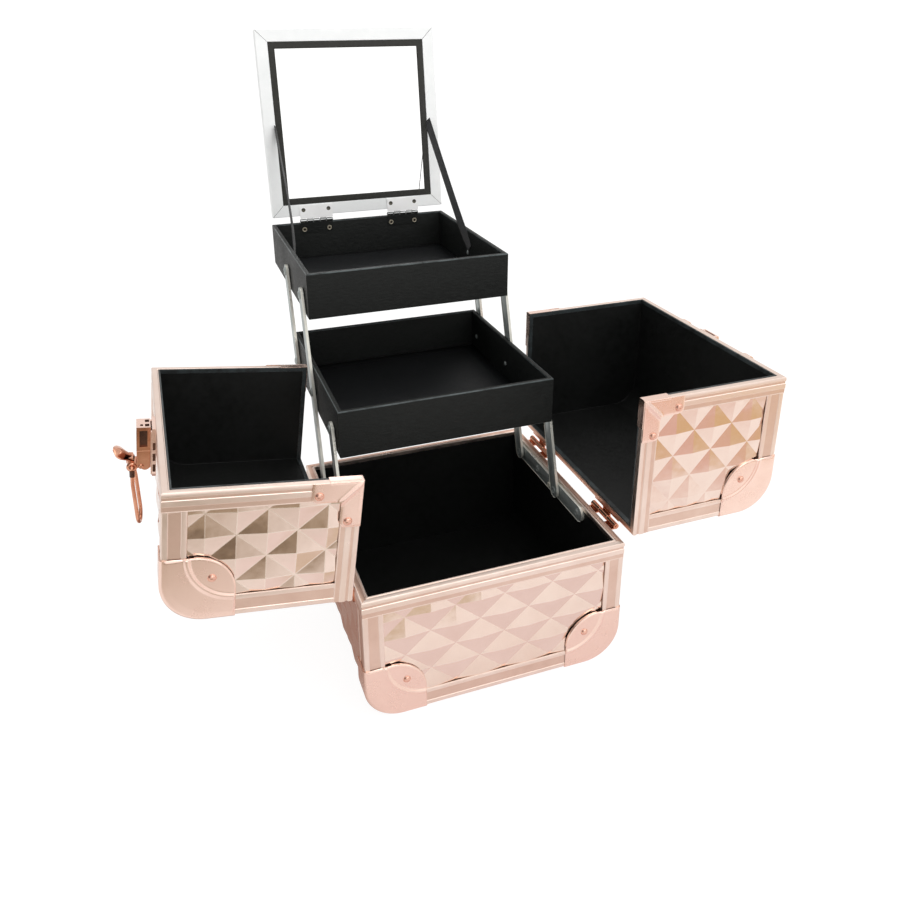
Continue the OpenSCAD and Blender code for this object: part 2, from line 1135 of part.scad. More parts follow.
module mirror_bezel() {
    color(black_vinyl)
        mirror_frame_at()
            difference() {
                mirror_panel(rail_w + 0.1, mirror_in_z + 0.4, mirror_in_z + bezel_t + 0.4);
                mirror_panel(rail_w + bezel_w, mirror_in_z - 1, mirror_out_z);
            }
}

// Knuckles of a mirror hinge between the given positions along its barrel
module mirror_knuckles(spans) {
    difference() {
        for (s = spans)
            rod_x(s[0], s[1], 0, 0, mirror_barrel_r);
        rod_x(-mirror_leaf_w, mirror_leaf_w, 0, 0, mirror_pin_r + run_gap);
    }
}

module mirror_hinge_leaves() {
    knuckle = fifth / 2 - mirror_clear;
    color("silver")
        mirror_frame_at()
            at_mirror_hinges() {
                mirror_knuckles([
                    [-fifth - knuckle, -fifth + knuckle],
                    [fifth - knuckle, fifth + knuckle]
                ]);
                for (side = [-1, 1])
                    block(side * fifth - knuckle, side * fifth + knuckle, -2.55,
                        -mirror_barrel_r + 0.4, mirror_in_z - mirror_leaf_t, -0.6);
                difference() {
                    block(-mirror_leaf_w / 2, mirror_leaf_w / 2, -mirror_leaf_len, -2.2,
                        mirror_in_z - mirror_leaf_t, mirror_in_z);
                    for (side = [-1, 1])
                        translate([side * tie_x, screw_y, -far / 2])
                            cylinder(h = far, r = tie_bore);
                }
            }
}

module mirror_screws() {
    color("dimgray")
        mirror_frame_at()
            at_mirror_hinges()
                for (side = [-1, 1])
                    translate([side * tie_x, screw_y, mirror_in_z - mirror_leaf_t - 0.5])
                        cylinder(h = mirror_leaf_t + 0.5, r = tie_r);
}

// The lower leaves hang inside the rear wall
module tray_hinge_leaves() {
    knuckle = fifth / 2 - mirror_clear;
    leaf_top = -3.6;
    color("silver")
        translate([0, mirror_axis_y, mirror_axis_z])
            at_mirror_hinges() {
                mirror_knuckles([
                    [-2.5 * fifth, -2 * fifth + knuckle],
                    [-knuckle, knuckle],
                    [2 * fifth - knuckle, 2.5 * fifth]
                ]);
                for (c = [-2, 0, 2])
                    block(c * fifth - knuckle, c * fifth + knuckle, -mirror_leaf_t, -0.01,
                        leaf_top - 0.4, -mirror_barrel_r + 0.5);
                difference() {
                    block(-mirror_leaf_w / 2, mirror_leaf_w / 2, -mirror_leaf_t, -0.01,
                        -lower_leaf_h, leaf_top);
                    for (side = [-1, 1])
                        rod_y(-3, 1, side * tie_x, tie_z, tie_bore);
                }
            }
}

module tray_hinge_rivets() {
    color("silver")
        translate([0, mirror_axis_y, mirror_axis_z])
            at_mirror_hinges()
                for (side = [-1, 1]) {
                    rod_y(-mirror_leaf_t - tie_head_t, -0.01, side * tie_x, tie_z, tie_r);
                    rod_y(-mirror_leaf_t - tie_head_t, -mirror_leaf_t, side * tie_x, tie_z,
                        tie_head_r);
                }
}

module mirror_hinge_pins() {
    color("silver")
        translate([0, mirror_axis_y, mirror_axis_z])
            at_mirror_hinges()
                rod_x(-mirror_leaf_w / 2 - 0.4, mirror_leaf_w / 2 + 0.4, 0, 0, mirror_pin_r);
}

// Ribbon stays, straight while the mirror lid is open
module mirror_stays() {
    tilt = mirror_open - 90;
    foot = [inner_tray - stay_t - 0.2, stay_foot_y, stay_foot_z];
    head = [
        mirror_w / 2 - rail_w - 1,
        mirror_axis_y - stay_head_y * sin(tilt) + stay_head_z * cos(tilt),
        mirror_axis_z - stay_head_y * cos(tilt) - stay_head_z * sin(tilt)
    ];
    slope = atan2(head[2] - foot[2], head[1] - foot[1]);
    color("black")
        left_and_right()
            hull()
                for (end = [foot, head])
                    translate(end)
                        rotate([slope, 0, 0])
                            translate([0, 0, -stay_w / 2])
                                cube([stay_t, 0.1, stay_w]);
}

base_wrap();
base_front_panel();
base_rear_panel();
base_lining();
base_rim();
base_trims();
base_corner_guards();
base_rivets();
tray_rails();
rail_studs();
base_hinge_leaves();
case_hinge_pins();
left_wrap();
left_front_panel();
left_rear_panel();
left_lining();
left_rim();
left_trims();
left_corner_guards();
left_brackets();
left_rivets();
left_hinge_leaves();
latch_plate();
latch_housing();
latch_lever();
latch_bail();
right_wrap();
right_front_panel();
right_rear_panel();
right_lining();
right_rim();
right_trims();
right_corner_guards();
right_brackets();
right_rivets();
right_hinge_leaves();
latch_catch();
handle_brackets();
handle_bail();
handle_grip();
long_arms();
lower_arms();
upper_arms();
mid_tray();
mid_tray_floor();
mid_tray_pins();
top_tray();
top_tray_floor();
top_tray_pins();
tray_hinge_leaves();
tray_hinge_rivets();
mirror_frame();
mirror_backing();
mirror_glass();
mirror_bezel();
mirror_hinge_leaves();
mirror_hinge_pins();
mirror_screws();
mirror_stays();
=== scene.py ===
import json
import math
import bpy
import bmesh
from mathutils import Matrix, Vector

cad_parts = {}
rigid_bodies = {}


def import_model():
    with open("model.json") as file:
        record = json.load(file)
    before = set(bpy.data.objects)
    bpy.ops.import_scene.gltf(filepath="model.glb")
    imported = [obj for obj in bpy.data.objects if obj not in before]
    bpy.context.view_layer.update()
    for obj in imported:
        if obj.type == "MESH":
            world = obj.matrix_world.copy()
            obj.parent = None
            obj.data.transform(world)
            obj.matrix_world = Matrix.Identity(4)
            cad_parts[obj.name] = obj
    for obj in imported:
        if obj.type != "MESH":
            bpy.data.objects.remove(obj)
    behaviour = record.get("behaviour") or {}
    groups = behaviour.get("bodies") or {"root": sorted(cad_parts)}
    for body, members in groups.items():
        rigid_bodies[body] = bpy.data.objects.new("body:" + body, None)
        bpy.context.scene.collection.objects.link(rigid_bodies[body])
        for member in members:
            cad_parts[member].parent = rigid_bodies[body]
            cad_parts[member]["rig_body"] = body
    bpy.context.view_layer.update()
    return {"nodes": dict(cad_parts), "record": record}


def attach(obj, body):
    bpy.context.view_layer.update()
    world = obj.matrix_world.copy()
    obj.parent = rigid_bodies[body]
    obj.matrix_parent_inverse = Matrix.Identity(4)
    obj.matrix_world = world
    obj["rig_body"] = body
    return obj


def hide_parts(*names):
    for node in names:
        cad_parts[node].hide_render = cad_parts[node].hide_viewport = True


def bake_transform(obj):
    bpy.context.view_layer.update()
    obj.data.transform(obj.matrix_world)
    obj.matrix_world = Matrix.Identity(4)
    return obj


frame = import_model()

# ---------- sizes, in millimetres, as in the CAD ----------
HALF_W, HALF_D, BASE_H = 100.0, 97.5, 102.0
LID_Z0, LID_Z1 = 102.6, 222.6
SPLIT = {"left": 10.3, "right": -9.7}
EDGE_R = 28.0
TRIM_IN, SKIN_IN, BOARD_IN, INNER_IN = 1.2, 2.4, 5.0, 7.0
TRIM_W, RIM_W = 14.5, 13.0
GUARD_LEG, GUARD_ARM, BRACKET_LEG, BRACKET_ARM = 45.0, 20.0, 32.0, 13.5
GUARD_RIVET, BRACKET_NEAR, BRACKET_FAR = 30.5, 8.5, 27.5
HINGE_X, HINGE_Z = 104.2, 101.5
LEFT_OPEN, RIGHT_OPEN, MIRROR_OPEN = 82.4, 90.0, 98.0
VALLEY_IN, FACET_H = 2.9, 1.5
# Each sheet's pattern: one touching point, and the steps along its two directions
PATTERN = {"base": ((-50.6, 65.2), (18.6, 16.4)), "right": ((20.8, 147.4), (18.4, 16.0)),
           "left": ((42.6, 178.4), (16.3, 18.5))}
WALL_STEPS = (16.4, 18.5)
TRAY_W, TRAY_D, TRAY_H, TRAY_T = 174.0, 174.0, 38.4, 3.5
MID_FRONT, MID_TOP = 4.357, 193.251
TOP_FRONT, TOP_TOP = 98.714, 270.502
MIRROR_Y, MIRROR_Z = 269.214, 272.502
MIRROR_REAR, MIRROR_FRONT, MIRROR_IN_Z, MIRROR_T = -5.0, -177.0, -1.5, 9.0
MIRROR_W, RAIL_W, BEZEL_W = 172.0, 11.0, 6.2
MIRROR_HINGE_X, MIRROR_W_LEAF, TIE_X, SCREW_Y, TIE_Z = 44.0, 32.0, 12.3, -10.6, -8.5
PLATE_T, PLATE_HALF, PLATE_END, HOUSING_END, LATCH_H, LATCH_HALF = 3.4, 10.0, 38.2, 32.5, 12.2, 7.0
LEVER_U, LEVER_W, BAIL_U, BAIL_W = 29.6, 9.4, 31.1, 15.1
BAIL_LEN, BAIL_HALF, BAIL_TILT = 44.0, 7.6, 7.0
HINGE_LEN, HINGE_Y, BARREL_R = 36.0, 57.5, 2.3
MOUTH_IN, LAP, FACE_GAP = 1.3, 0.05, 0.3
ARM_IN, ARM_OUT, ARM_W, RAIL_IN, RAIL_OUT, RAIL_H = 88.4, 90.2, 12.0, 91.1, 93.0, 13.0
RAIL_FRONT, RAIL_BACK, PIVOT_Y, PIVOT_Z, STOP_Y = -46.0, 75.0, 68.0, 94.0, 6.97
ARM_SLOPE, ARM_LEN, PIVOT_GAP = 72.5, 162.0, 70.0
PIN_SPOTS, PIN_DROP = (18.0, 88.0, 158.0), 22.0
BOARD_END, WINDOW_Y = HALF_D - BOARD_IN, HALF_D - TRIM_IN - TRIM_W + LAP


def move(x, y, z):
    return Matrix.Translation((x, y, z))


def rotate(degrees, axis):
    return Matrix.Rotation(math.radians(degrees), 4, axis)


def frame_of(origin, x, y, z):
    """A matrix taking local axes to the given directions at origin."""
    m = Matrix((x, y, z)).transposed().to_4x4()
    m.translation = Vector(origin)
    return m


def towards_front(x, y, z):
    """Local x is right, y is up and z comes out of the front."""
    return frame_of((x, y, z), (1, 0, 0), (0, 0, 1), (0, -1, 0))


def towards_right(x, y, z):
    """Local x is rear, y is up and z goes right."""
    return frame_of((x, y, z), (0, 1, 0), (0, 0, 1), (1, 0, 0))


def towards_rear(x, y, z):
    """Local x is up, y is right and z goes to the rear."""
    return frame_of((x, y, z), (0, 0, 1), (1, 0, 0), (0, 1, 0))


# Where each moving part stands at rest; a part's own sizes are those of the closed case
MM = Matrix.Scale(0.001, 4)
SAME, FLIP_X, FLIP_Y, FLIP_Z = (Matrix.Diagonal((*v, 1)) for v in
                                ((1, 1, 1), (-1, 1, 1), (1, -1, 1), (1, 1, -1)))
LEFT_AND_RIGHT, FRONT_AND_REAR = (SAME, FLIP_X), (SAME, FLIP_Y)
RIGHT = MM @ move(HINGE_X, 0, HINGE_Z) @ rotate(RIGHT_OPEN, "Y") @ move(-HINGE_X, 0, -HINGE_Z)
LEFT_UNTURNED = (MM @ move(-HINGE_X, 0, HINGE_Z) @ rotate(-LEFT_OPEN, "Y")
                 @ move(HINGE_X, 0, -HINGE_Z))
LEFT = LEFT_UNTURNED @ FLIP_X
MIRROR = MM @ move(0, MIRROR_Y, MIRROR_Z) @ rotate(-MIRROR_OPEN, "X")
TOP_Z = LID_Z1 - TRIM_IN
LATCH = LEFT_UNTURNED @ move(-SPLIT["left"], 0, TOP_Z) @ FLIP_X
RIGHT_TOP = RIGHT @ move(SPLIT["right"], 0, TOP_Z)
SLOT_OF = {s["node"]: s["material_slot"] for s in frame["record"]["subparts"]}


def mirror_point(x, y, z):
    """A point of the mirror lid's own closed frame, in millimetres in the row frame."""
    return (MIRROR @ Vector((x, y, z))) * 1000.0


# ---------- materials ----------
class Tree:
    """Adds nodes to a node tree and joins them up."""

    def __init__(self, owner):
        owner.use_nodes = True
        self.tree = owner.node_tree

    def add(self, kind, **values):
        node = self.tree.nodes.new(kind)
        for key, value in values.items():
            setattr(node, key, value)
        return node

    def link(self, socket, value):
        if isinstance(value, bpy.types.NodeSocket):
            self.tree.links.new(value, socket)
        elif isinstance(value, (tuple, list)) and socket.type == "RGBA":
            socket.default_value = (*value[:3], 1.0)
        else:
            socket.default_value = value

    def put(self, node, **values):
        """Sets or joins a node's inputs by name, with _ for a space."""
        for key, value in values.items():
            self.link(node.inputs[key.replace("_", " ")], value)
        return node

    def spread(self, value, low, high, from_low=0.3, from_high=0.7, **values):
        m = self.put(self.add("ShaderNodeMapRange", **values), Value=value, From_Min=from_low,
                     From_Max=from_high, To_Min=low, To_Max=high)
        return m.outputs["Result"]

    def math(self, how, a, b):
        m = self.add("ShaderNodeMath", operation=how)
        self.link(m.inputs[0], a)
        self.link(m.inputs[1], b)
        return m.outputs["Value"]

    def over(self, surface, amount, shader):
        """Lays one shader over another by the given amount."""
        mix = self.add("ShaderNodeMixShader")
        for k, socket in enumerate((amount, surface, shader)):
            self.link(mix.inputs[k], socket)
        return mix.outputs[0]


class Nodes(Tree):
    """A node material."""

    def __init__(self, name):
        self.mat = bpy.data.materials.new(name)
        super().__init__(self.mat)
        self.bsdf = self.tree.nodes["Principled BSDF"]
        self.out = self.tree.nodes["Material Output"]
        self.coords = self.add("ShaderNodeTexCoord").outputs["Object"]

    def noise(self, scale, detail=3.0, rough=0.55, stretch=None):
        at = self.coords
        if stretch:
            mapping = self.put(self.add("ShaderNodeMapping"), Scale=stretch, Vector=at)
            at = mapping.outputs["Vector"]
        n = self.put(self.add("ShaderNodeTexNoise"), Vector=at, Scale=scale, Detail=detail,
                     Roughness=rough)
        return n.outputs["Fac"]

    def mix(self, fac, a, b):
        m = self.add("ShaderNodeMix", data_type="RGBA")
        sockets = {s.identifier: s for s in m.inputs}
        for name, value in (("Factor_Float", fac), ("A_Color", a), ("B_Color", b)):
            self.link(sockets[name], value)
        return next(s for s in m.outputs if s.type == "RGBA")

    def glow(self, surface, amount, colour, strength=1.0):
        """Lays an even glow over a shader by the given amount."""
        light = self.put(self.add("ShaderNodeEmission"), Strength=strength, Color=colour)
        return self.over(surface, amount, light.outputs[0])

    def bump(self, height, depth_mm, strength=1.0, normal=None):
        b = self.put(self.add("ShaderNodeBump"), Strength=strength, Distance=depth_mm * 0.001,
                     Height=height)
        if normal is not None:
            self.link(b.inputs["Normal"], normal)
        return b.outputs["Normal"]

    def finish(self, **inputs):
        self.put(self.bsdf, **inputs)
        return self.mat


def metal(name, pale, deep, rough, scratch=0.02, dents=0.0, waves=0.0, metallic=1.0):
    """Metal with cloudy colour, uneven roughness, hairline scratches and slight dents."""
    n = Nodes(name)
    cloud = n.noise(60.0, 4.0)
    speck = n.noise(900.0, 2.0, 0.7)
    colour = n.mix(n.spread(cloud, 0.0, 1.0), pale, deep)
    colour = n.mix(n.spread(speck, 0.03, 0.0, 0.24, 0.30), colour, tuple(c * 0.8 for c in deep))
    hair = n.noise(340.0, 1.0, 0.5)
    r = n.math("ADD", n.spread(cloud, rough * 0.85, rough * 1.2), n.spread(hair, -0.01, 0.02))
    normal = n.bump(hair, scratch * 0.2, 0.4)
    if waves:
        normal = n.bump(n.noise(48.0, 1.0, 0.4), waves, 1.0, normal)
    if dents:
        normal = n.bump(n.noise(120.0, 1.0, 0.4), dents, 1.0, normal)
    return n.finish(Base_Color=colour, Metallic=metallic, Roughness=r, Normal=normal)


def black(name, colour, pale, rough, stretch, grain_scale, grain_mm, fold_mm=0.0):
    """Dark wrapped board: grain, folds and pale rubbing."""
    n = Nodes(name)
    grain = n.noise(grain_scale, 5.0, 0.65, stretch=stretch)
    fine = n.noise(grain_scale * 5.0, 2.0, 0.6, stretch=stretch)
    patch = n.noise(22.0, 3.0)
    tone = n.mix(n.spread(grain, 0.0, 1.0, 0.35, 0.75), colour, pale)
    tone = n.mix(n.spread(patch, 0.0, 0.35, 0.45, 0.75), tone, pale)
    r = n.math("ADD", n.spread(grain, rough * 0.85, rough * 1.15), n.spread(patch, -0.05, 0.05))
    height = n.math("ADD", grain, n.math("MULTIPLY", fine, 0.35))
    normal = n.bump(height, grain_mm, 0.9)
    if fold_mm:
        normal = n.bump(n.noise(14.0, 2.0, 0.45), fold_mm, 1.0, normal)
    return n.finish(Base_Color=tone, Roughness=r, Normal=normal, Specular_IOR_Level=0.27)


def worn_edge(name, dark, pale):
    """Folded vinyl edge, rubbed pale in stretches."""
    n = Nodes(name)
    rub = n.noise(55.0, 4.0, 0.7)
    tone = n.mix(n.spread(rub, 0.0, 1.0, 0.36, 0.6), dark, pale)
    return n.finish(Base_Color=tone, Roughness=n.spread(rub, 0.55, 0.38),
                    Normal=n.bump(n.noise(500.0, 3.0), 0.12, 0.8))


def ribbon_weave(name):
    n = Nodes(name)
    waves = []
    for axis in ("Y", "Z"):
        w = n.add("ShaderNodeTexWave", bands_direction=axis)
        waves.append(n.put(w, Vector=n.coords, Scale=420.0).outputs["Fac"])
    weave = n.math("MULTIPLY", waves[0], waves[1])
    tone = n.mix(weave, (0.006, 0.006, 0.007), (0.035, 0.036, 0.038))
    return n.finish(Base_Color=tone, Roughness=n.spread(n.noise(80.0), 0.6, 0.8),
                    Normal=n.bump(weave, 0.15, 0.8), Sheen_Weight=0.2)


def silvered_glass(name):
    n = Nodes(name)
    dust = n.noise(700.0, 2.0, 0.7)
    haze = n.noise(18.0, 3.0)
    rough = n.math("ADD", n.spread(haze, 0.0, 0.02), n.spread(dust, 0.12, 0.0, 0.24, 0.30))
    tone = n.mix(n.spread(haze, 0.0, 1.0), (0.93, 0.95, 0.95), (0.97, 0.98, 0.99))
    return n.finish(Base_Color=tone, Metallic=1.0, Roughness=rough,
                    Normal=n.bump(haze, 0.004, 0.2))


MATS = {
    "skin": metal("rose_foil", (0.86, 0.695, 0.61), (0.83, 0.655, 0.57), 0.12,
                  scratch=0.005, dents=0.12, waves=0.32),
    # Paler foil for the bevels along ridges and valleys: a painted highlight line
    "skin_ridge_highlight": metal("foil_ridge_highlight", (0.91, 0.77, 0.68), (0.86, 0.70, 0.60), 0.22,
                       metallic=0.8),
    # Darker copper for the rim caps that face the dark insides across the hinges: painted shade and
    # reflection
    "rim_cap_shade": metal("copper_cap_shade", (0.78, 0.53, 0.42), (0.68, 0.43, 0.335), 0.3),
    "trim": metal("rose_trim", (0.88, 0.73, 0.65), (0.83, 0.67, 0.585), 0.33),
    # Darker copy of the trim for the sunk bands: painted shade
    "trim_shade": metal("rose_trim_shade", (0.77, 0.575, 0.48), (0.71, 0.51, 0.42), 0.36),
    "guard": metal("rose_plate", (0.93, 0.695, 0.60), (0.90, 0.655, 0.56), 0.24,
                   scratch=0.002, dents=0.02, waves=0.08),
    "rivet": metal("rose_rivet", (0.82, 0.50, 0.40), (0.76, 0.43, 0.33), 0.2, scratch=0.01),
    "hardware": metal("copper_plate", (0.78, 0.40, 0.265), (0.60, 0.26, 0.16), 0.12,
                      scratch=0.008, dents=0.10),
    "copper_shade": metal("copper_shade", (0.16, 0.085, 0.06), (0.03, 0.018, 0.014), 0.35),
    "lining": black("black_lining", (0.0035, 0.0037, 0.0035), (0.0085, 0.0095, 0.009), 0.52,
                    (1.0, 1.0, 1.0), 240.0, 0.10, fold_mm=0.8),
    "lining_edge": worn_edge("lining_edge", (0.006, 0.007, 0.007), (0.035, 0.045, 0.048)),
    "tray_vinyl": black("grained_vinyl", (0.0045, 0.0054, 0.005), (0.0115, 0.0135, 0.0125),
                        0.52, (1.0, 3.0, 3.0), 200.0, 0.42),
    "tray_pad": black("tray_pad", (0.0075, 0.008, 0.0085), (0.015, 0.0165, 0.018), 0.42,
                      (1.0, 1.0, 1.0), 500.0, 0.05, fold_mm=0.3),
    "vinyl_edge": worn_edge("vinyl_edge", (0.020, 0.025, 0.026), (0.085, 0.105, 0.108)),
    "steel": metal("zinc_steel", (0.46, 0.50, 0.49), (0.36, 0.395, 0.385), 0.42,
                   scratch=0.05, metallic=0.62),
    # Pale cream copy of the steel for the strips' rounded edges: a painted highlight
    "steel_edge_highlight": metal("bright_edge_highlight", (0.82, 0.81, 0.74), (0.60, 0.60, 0.54), 0.3,
                        metallic=0.5),
    "steel_post": metal("pale_post", (0.72, 0.70, 0.60), (0.60, 0.57, 0.47), 0.42,
                        metallic=0.5),
    "frame_rail": metal("silver_rail", (0.90, 0.915, 0.915), (0.86, 0.88, 0.88), 0.42,
                        metallic=0.25),
    "backing": black("backing_vinyl", (0.009, 0.0095, 0.0095), (0.022, 0.023, 0.023), 0.5,
                     (1.0, 4.0, 4.0), 170.0, 0.14),
    "mirror": silvered_glass("silvered_glass"),
    "bezel": black("black_bezel", (0.022, 0.022, 0.019), (0.042, 0.042, 0.038), 0.6,
                   (1.0, 1.0, 1.0), 420.0, 0.12),
    "nickel": metal("nickel_plate", (0.50, 0.51, 0.51), (0.26, 0.27, 0.27), 0.15),
    "white_nickel": metal("bright_leaf", (0.92, 0.92, 0.92), (0.88, 0.88, 0.88), 0.35,
                          metallic=0.3),
    "screw": metal("dark_screw", (0.16, 0.15, 0.12), (0.07, 0.07, 0.06), 0.4),
    "eyelet": metal("brass_eyelet", (0.72, 0.66, 0.52), (0.58, 0.52, 0.40), 0.28,
                    metallic=0.5),
    "ribbon": ribbon_weave("black_ribbon"),
    "grip": black("soft_grip", (0.010, 0.010, 0.010), (0.025, 0.025, 0.025), 0.62,
                  (1.0, 1.0, 1.0), 700.0, 0.15),
    # Near-black fill for the mirror frame's joints and the eyelet centres; in the latch housing,
    # painted shade in the holes and the slot
    "gap": black("dark_gap", (0.012, 0.007, 0.005), (0.03, 0.018, 0.012), 0.8,
                 (1.0, 1.0, 1.0), 300.0, 0.1),
}


# ---------- mesh helpers ----------
def frange(a, b, count):
    return [a + (b - a) * i / count for i in range(count + 1)]


def arc(cx, cy, r, a0, a1, count):
    return [(cx + r * math.cos(math.radians(t)), cy + r * math.sin(math.radians(t)))
            for t in frange(a0, a1, count)]


def circle(sides):
    angles = [2 * math.pi * k / sides for k in range(sides)]
    return [(math.cos(a), math.sin(a)) for a in angles]


class Piece:
    """Collects faces in millimetres, then makes one mesh object in the row frame."""

    def __init__(self):
        self.verts, self.faces, self.tags = [], [], []

    def add(self, verts, faces, tag=0, at=None):
        start = len(self.verts)
        self.verts += [tuple(at @ Vector(v)) if at else tuple(v) for v in verts]
        flip = at is not None and at.determinant() < 0
        for k, f in enumerate(faces):
            f = [start + i for i in f]
            self.faces.append(f[::-1] if flip else f)
            self.tags.append(tag[k] if isinstance(tag, list) else tag)

    def grid(self, rows, tag=0, at=None, loop=False, wrap=False, row_tags=None):
        """Quads between rows of points. loop joins each row's ends, wrap joins last row to first."""
        n, m = len(rows), len(rows[0])
        verts = [p for row in rows for p in row]
        faces, tags = [], []
        for i in range(n if wrap else n - 1):
            for j in range(m if loop else m - 1):
                a, b = i * m + j, i * m + (j + 1) % m
                c, d = ((i + 1) % n) * m + (j + 1) % m, ((i + 1) % n) * m + j
                faces.append((a, b, c, d))
                tags.append(row_tags[i] if row_tags else tag)
        self.add(verts, faces, tags, at)

    def bar(self, outline, at, length, mitre0=(0, 0), mitre1=(0, 0), tag=0, edge_tags=None):
        """Extrudes an x-y outline along z from 0 to length; a mitre shifts an end by x and y."""
        n = len(outline)
        low = [(x, y, mitre0[0] * x + mitre0[1] * y) for x, y in outline]
        high = [(x, y, length + mitre1[0] * x + mitre1[1] * y) for x, y in outline]
        faces = [(i, (i + 1) % n, n + (i + 1) % n, n + i) for i in range(n)]
        tags = list(edge_tags) if edge_tags else [tag] * n
        self.add(low + high, faces + [tuple(range(n))[::-1], tuple(range(n, 2 * n))],
                 tags + [tag, tag], at)

    def ring(self, profile, corners, edge_tags=None, closed=True):
        """Sweeps (inward, up) points round a rectangle given as (x0, x1, y0, y1)."""
        x0, x1, y0, y1 = corners
        rows = [[(x0 + d, y0 + d, z), (x1 - d, y0 + d, z), (x1 - d, y1 - d, z), (x0 + d, y1 - d, z)]
                for d, z in profile]
        self.grid(rows, loop=True, wrap=closed, row_tags=edge_tags)

    def sheet(self, corners, inset, z, up=True):
        """A flat face at height z, inset from a rectangle given as (x0, x1, y0, y1)."""
        x0, x1, y0, y1 = corners
        x0, x1, y0, y1 = x0 + inset, x1 - inset, y0 + inset, y1 - inset
        self.add([(x0, y0, z), (x1, y0, z), (x1, y1, z), (x0, y1, z)],
                 [(0, 1, 2, 3) if up else (3, 2, 1, 0)])

    def ends(self, first, last, tag, at):
        """Closes both ends of a run of closed rows."""
        order = tuple(range(len(first)))
        self.add(first, [order[::-1]], tag, at)
        self.add(last, [order], tag, at)

    def shell(self, rows, thick, at=None, under=None, out=(0, -1, 0), probe=None, hem=0.0):
        """A sheet of the given thickness whose outside is the grid rows, closed all round."""
        grid = [[Vector(p) for p in row] for row in rows]
        base = [[Vector(p) for p in row] for row in (under or rows)]
        n, m = len(base), len(base[0])
        normals = []
        for i in range(n):
            line = []
            for j in range(m):
                a = base[min(i + 1, n - 1)][j] - base[max(i - 1, 0)][j]
                b = base[i][min(j + 1, m - 1)] - base[i][max(j - 1, 0)]
                line.append(a.cross(b).normalized())
            normals.append(line)
        i, j = probe or (n // 2, m - 2)
        sign = 1 if normals[i][j].dot(Vector(out)) > 0 else -1
        inner = [[base[i][j] - normals[i][j] * sign * thick for j in range(m)] for i in range(n)]
        for row in inner:
            row[-1].y += hem
        self.grid(grid, 0, at)
        self.grid([row[::-1] for row in inner], 0, at)
        rim = ([(0, j) for j in range(m)] + [(i, m - 1) for i in range(1, n)]
               + [(n - 1, j) for j in range(m - 2, -1, -1)] + [(i, 0) for i in range(n - 2, 0, -1)])
        self.grid([[g[i][j] for i, j in rim] for g in (grid, inner)], 0, at, loop=True)

    def pockets(self, at, width, height, holes, floor_tag):
        """A flat face from 0, 0 to width, height with rectangular pockets sunk in it.
        Each hole is (x0, x1, y0, y1, depth)."""
        xs = sorted({0.0, width} | {v for h in holes for v in h[:2]})
        ys = sorted({0.0, height} | {v for h in holes for v in h[2:4]})
        for x0, x1 in zip(xs, xs[1:]):
            for y0, y1 in zip(ys, ys[1:]):
                inside = [h for h in holes if h[0] <= x0 < h[1] and h[2] <= y0 < h[3]]
                z = -inside[0][4] if inside else 0.0
                self.add([(x0, y0, z), (x1, y0, z), (x1, y1, z), (x0, y1, z)], [(0, 1, 2, 3)],
                         floor_tag if inside else 0, at)
        for x0, x1, y0, y1, depth in holes:
            wx = [x for x in xs if x0 <= x <= x1]
            wy = [y for y in ys if y0 <= y <= y1]
            loop = ([(x, y0) for x in wx] + [(x1, y) for y in wy[1:]]
                    + [(x, y1) for x in wx[-2::-1]] + [(x0, y) for y in wy[-2:0:-1]])
            self.grid([[(x, y, z) for x, y in loop] for z in (0.0, -depth)], 0, at, loop=True)

    def lathe(self, profile, at, sides=24, tag=0):
        """Turns (radius, height) points round the z axis."""
        rows = [[(r * c, r * s, h) for c, s in circle(sides)] for r, h in profile]
        self.grid(rows, tag, at, loop=True)
        self.ends(rows[0], rows[-1], tag, at)

    def tube(self, path, radius, at, sides=12, tag=0):
        """A round wire through the points of path, with closed ends."""
        pts = [Vector(p) for p in path]
        rows = []
        side = None
        for i, p in enumerate(pts):
            ahead = (pts[min(i + 1, len(pts) - 1)] - pts[max(i - 1, 0)]).normalized()
            side = side or ahead.orthogonal()
            side = (side - ahead * side.dot(ahead)).normalized()
            other = ahead.cross(side)
            rows.append([p + (side * c + other * s) * radius for c, s in circle(sides)])
        self.grid(rows, tag, at, loop=True)
        self.ends(rows[0], rows[-1], tag, at)

    def make(self, node, place, mats=None, bevel=0.0, segments=2, limit=30, smooth=32,
             solid=None, merge=True, recalc=True, line=None, bend=None):
        """Makes the object, puts it on the node's body (with bend given, it stays unparented in the
        row frame instead) and hides the node.
        """
        mesh = bpy.data.meshes.new(node + "_look")
        bm = bmesh.new()
        for v in self.verts:
            bm.verts.new(v)
        bm.verts.ensure_lookup_table()
        for f, t in zip(self.faces, self.tags):
            loop = [bm.verts[i] for i in f]
            try:
                face = bm.faces.new(loop)
                face.material_index = t
            except ValueError:
                pass
        if merge:
            bmesh.ops.remove_doubles(bm, verts=bm.verts, dist=0.004)
            bmesh.ops.dissolve_degenerate(bm, dist=0.002, edges=bm.edges)
        bmesh.ops.delete(bm, geom=[v for v in bm.verts if not v.link_faces], context="VERTS")
        if recalc:
            bmesh.ops.recalc_face_normals(bm, faces=bm.faces)
        bm.transform(place)
        if place.determinant() < 0:
            bmesh.ops.reverse_faces(bm, faces=bm.faces)
        bm.to_mesh(mesh)
        bm.free()
        for p in mesh.polygons:
            p.use_smooth = True
        mesh.set_sharp_from_angle(angle=math.radians(smooth))
        obj = bpy.data.objects.new(node + "_look", mesh)
        bpy.context.scene.collection.objects.link(obj)
        slot = SLOT_OF[node]
        for m in mats or [slot]:
            mesh.materials.append(MATS[m])
        if solid:
            s = obj.modifiers.new("thickness", "SOLIDIFY")
            s.thickness, s.offset, s.use_even_offset = solid * 0.001, -1.0, True
        if bevel:
            b = obj.modifiers.new("edges", "BEVEL")
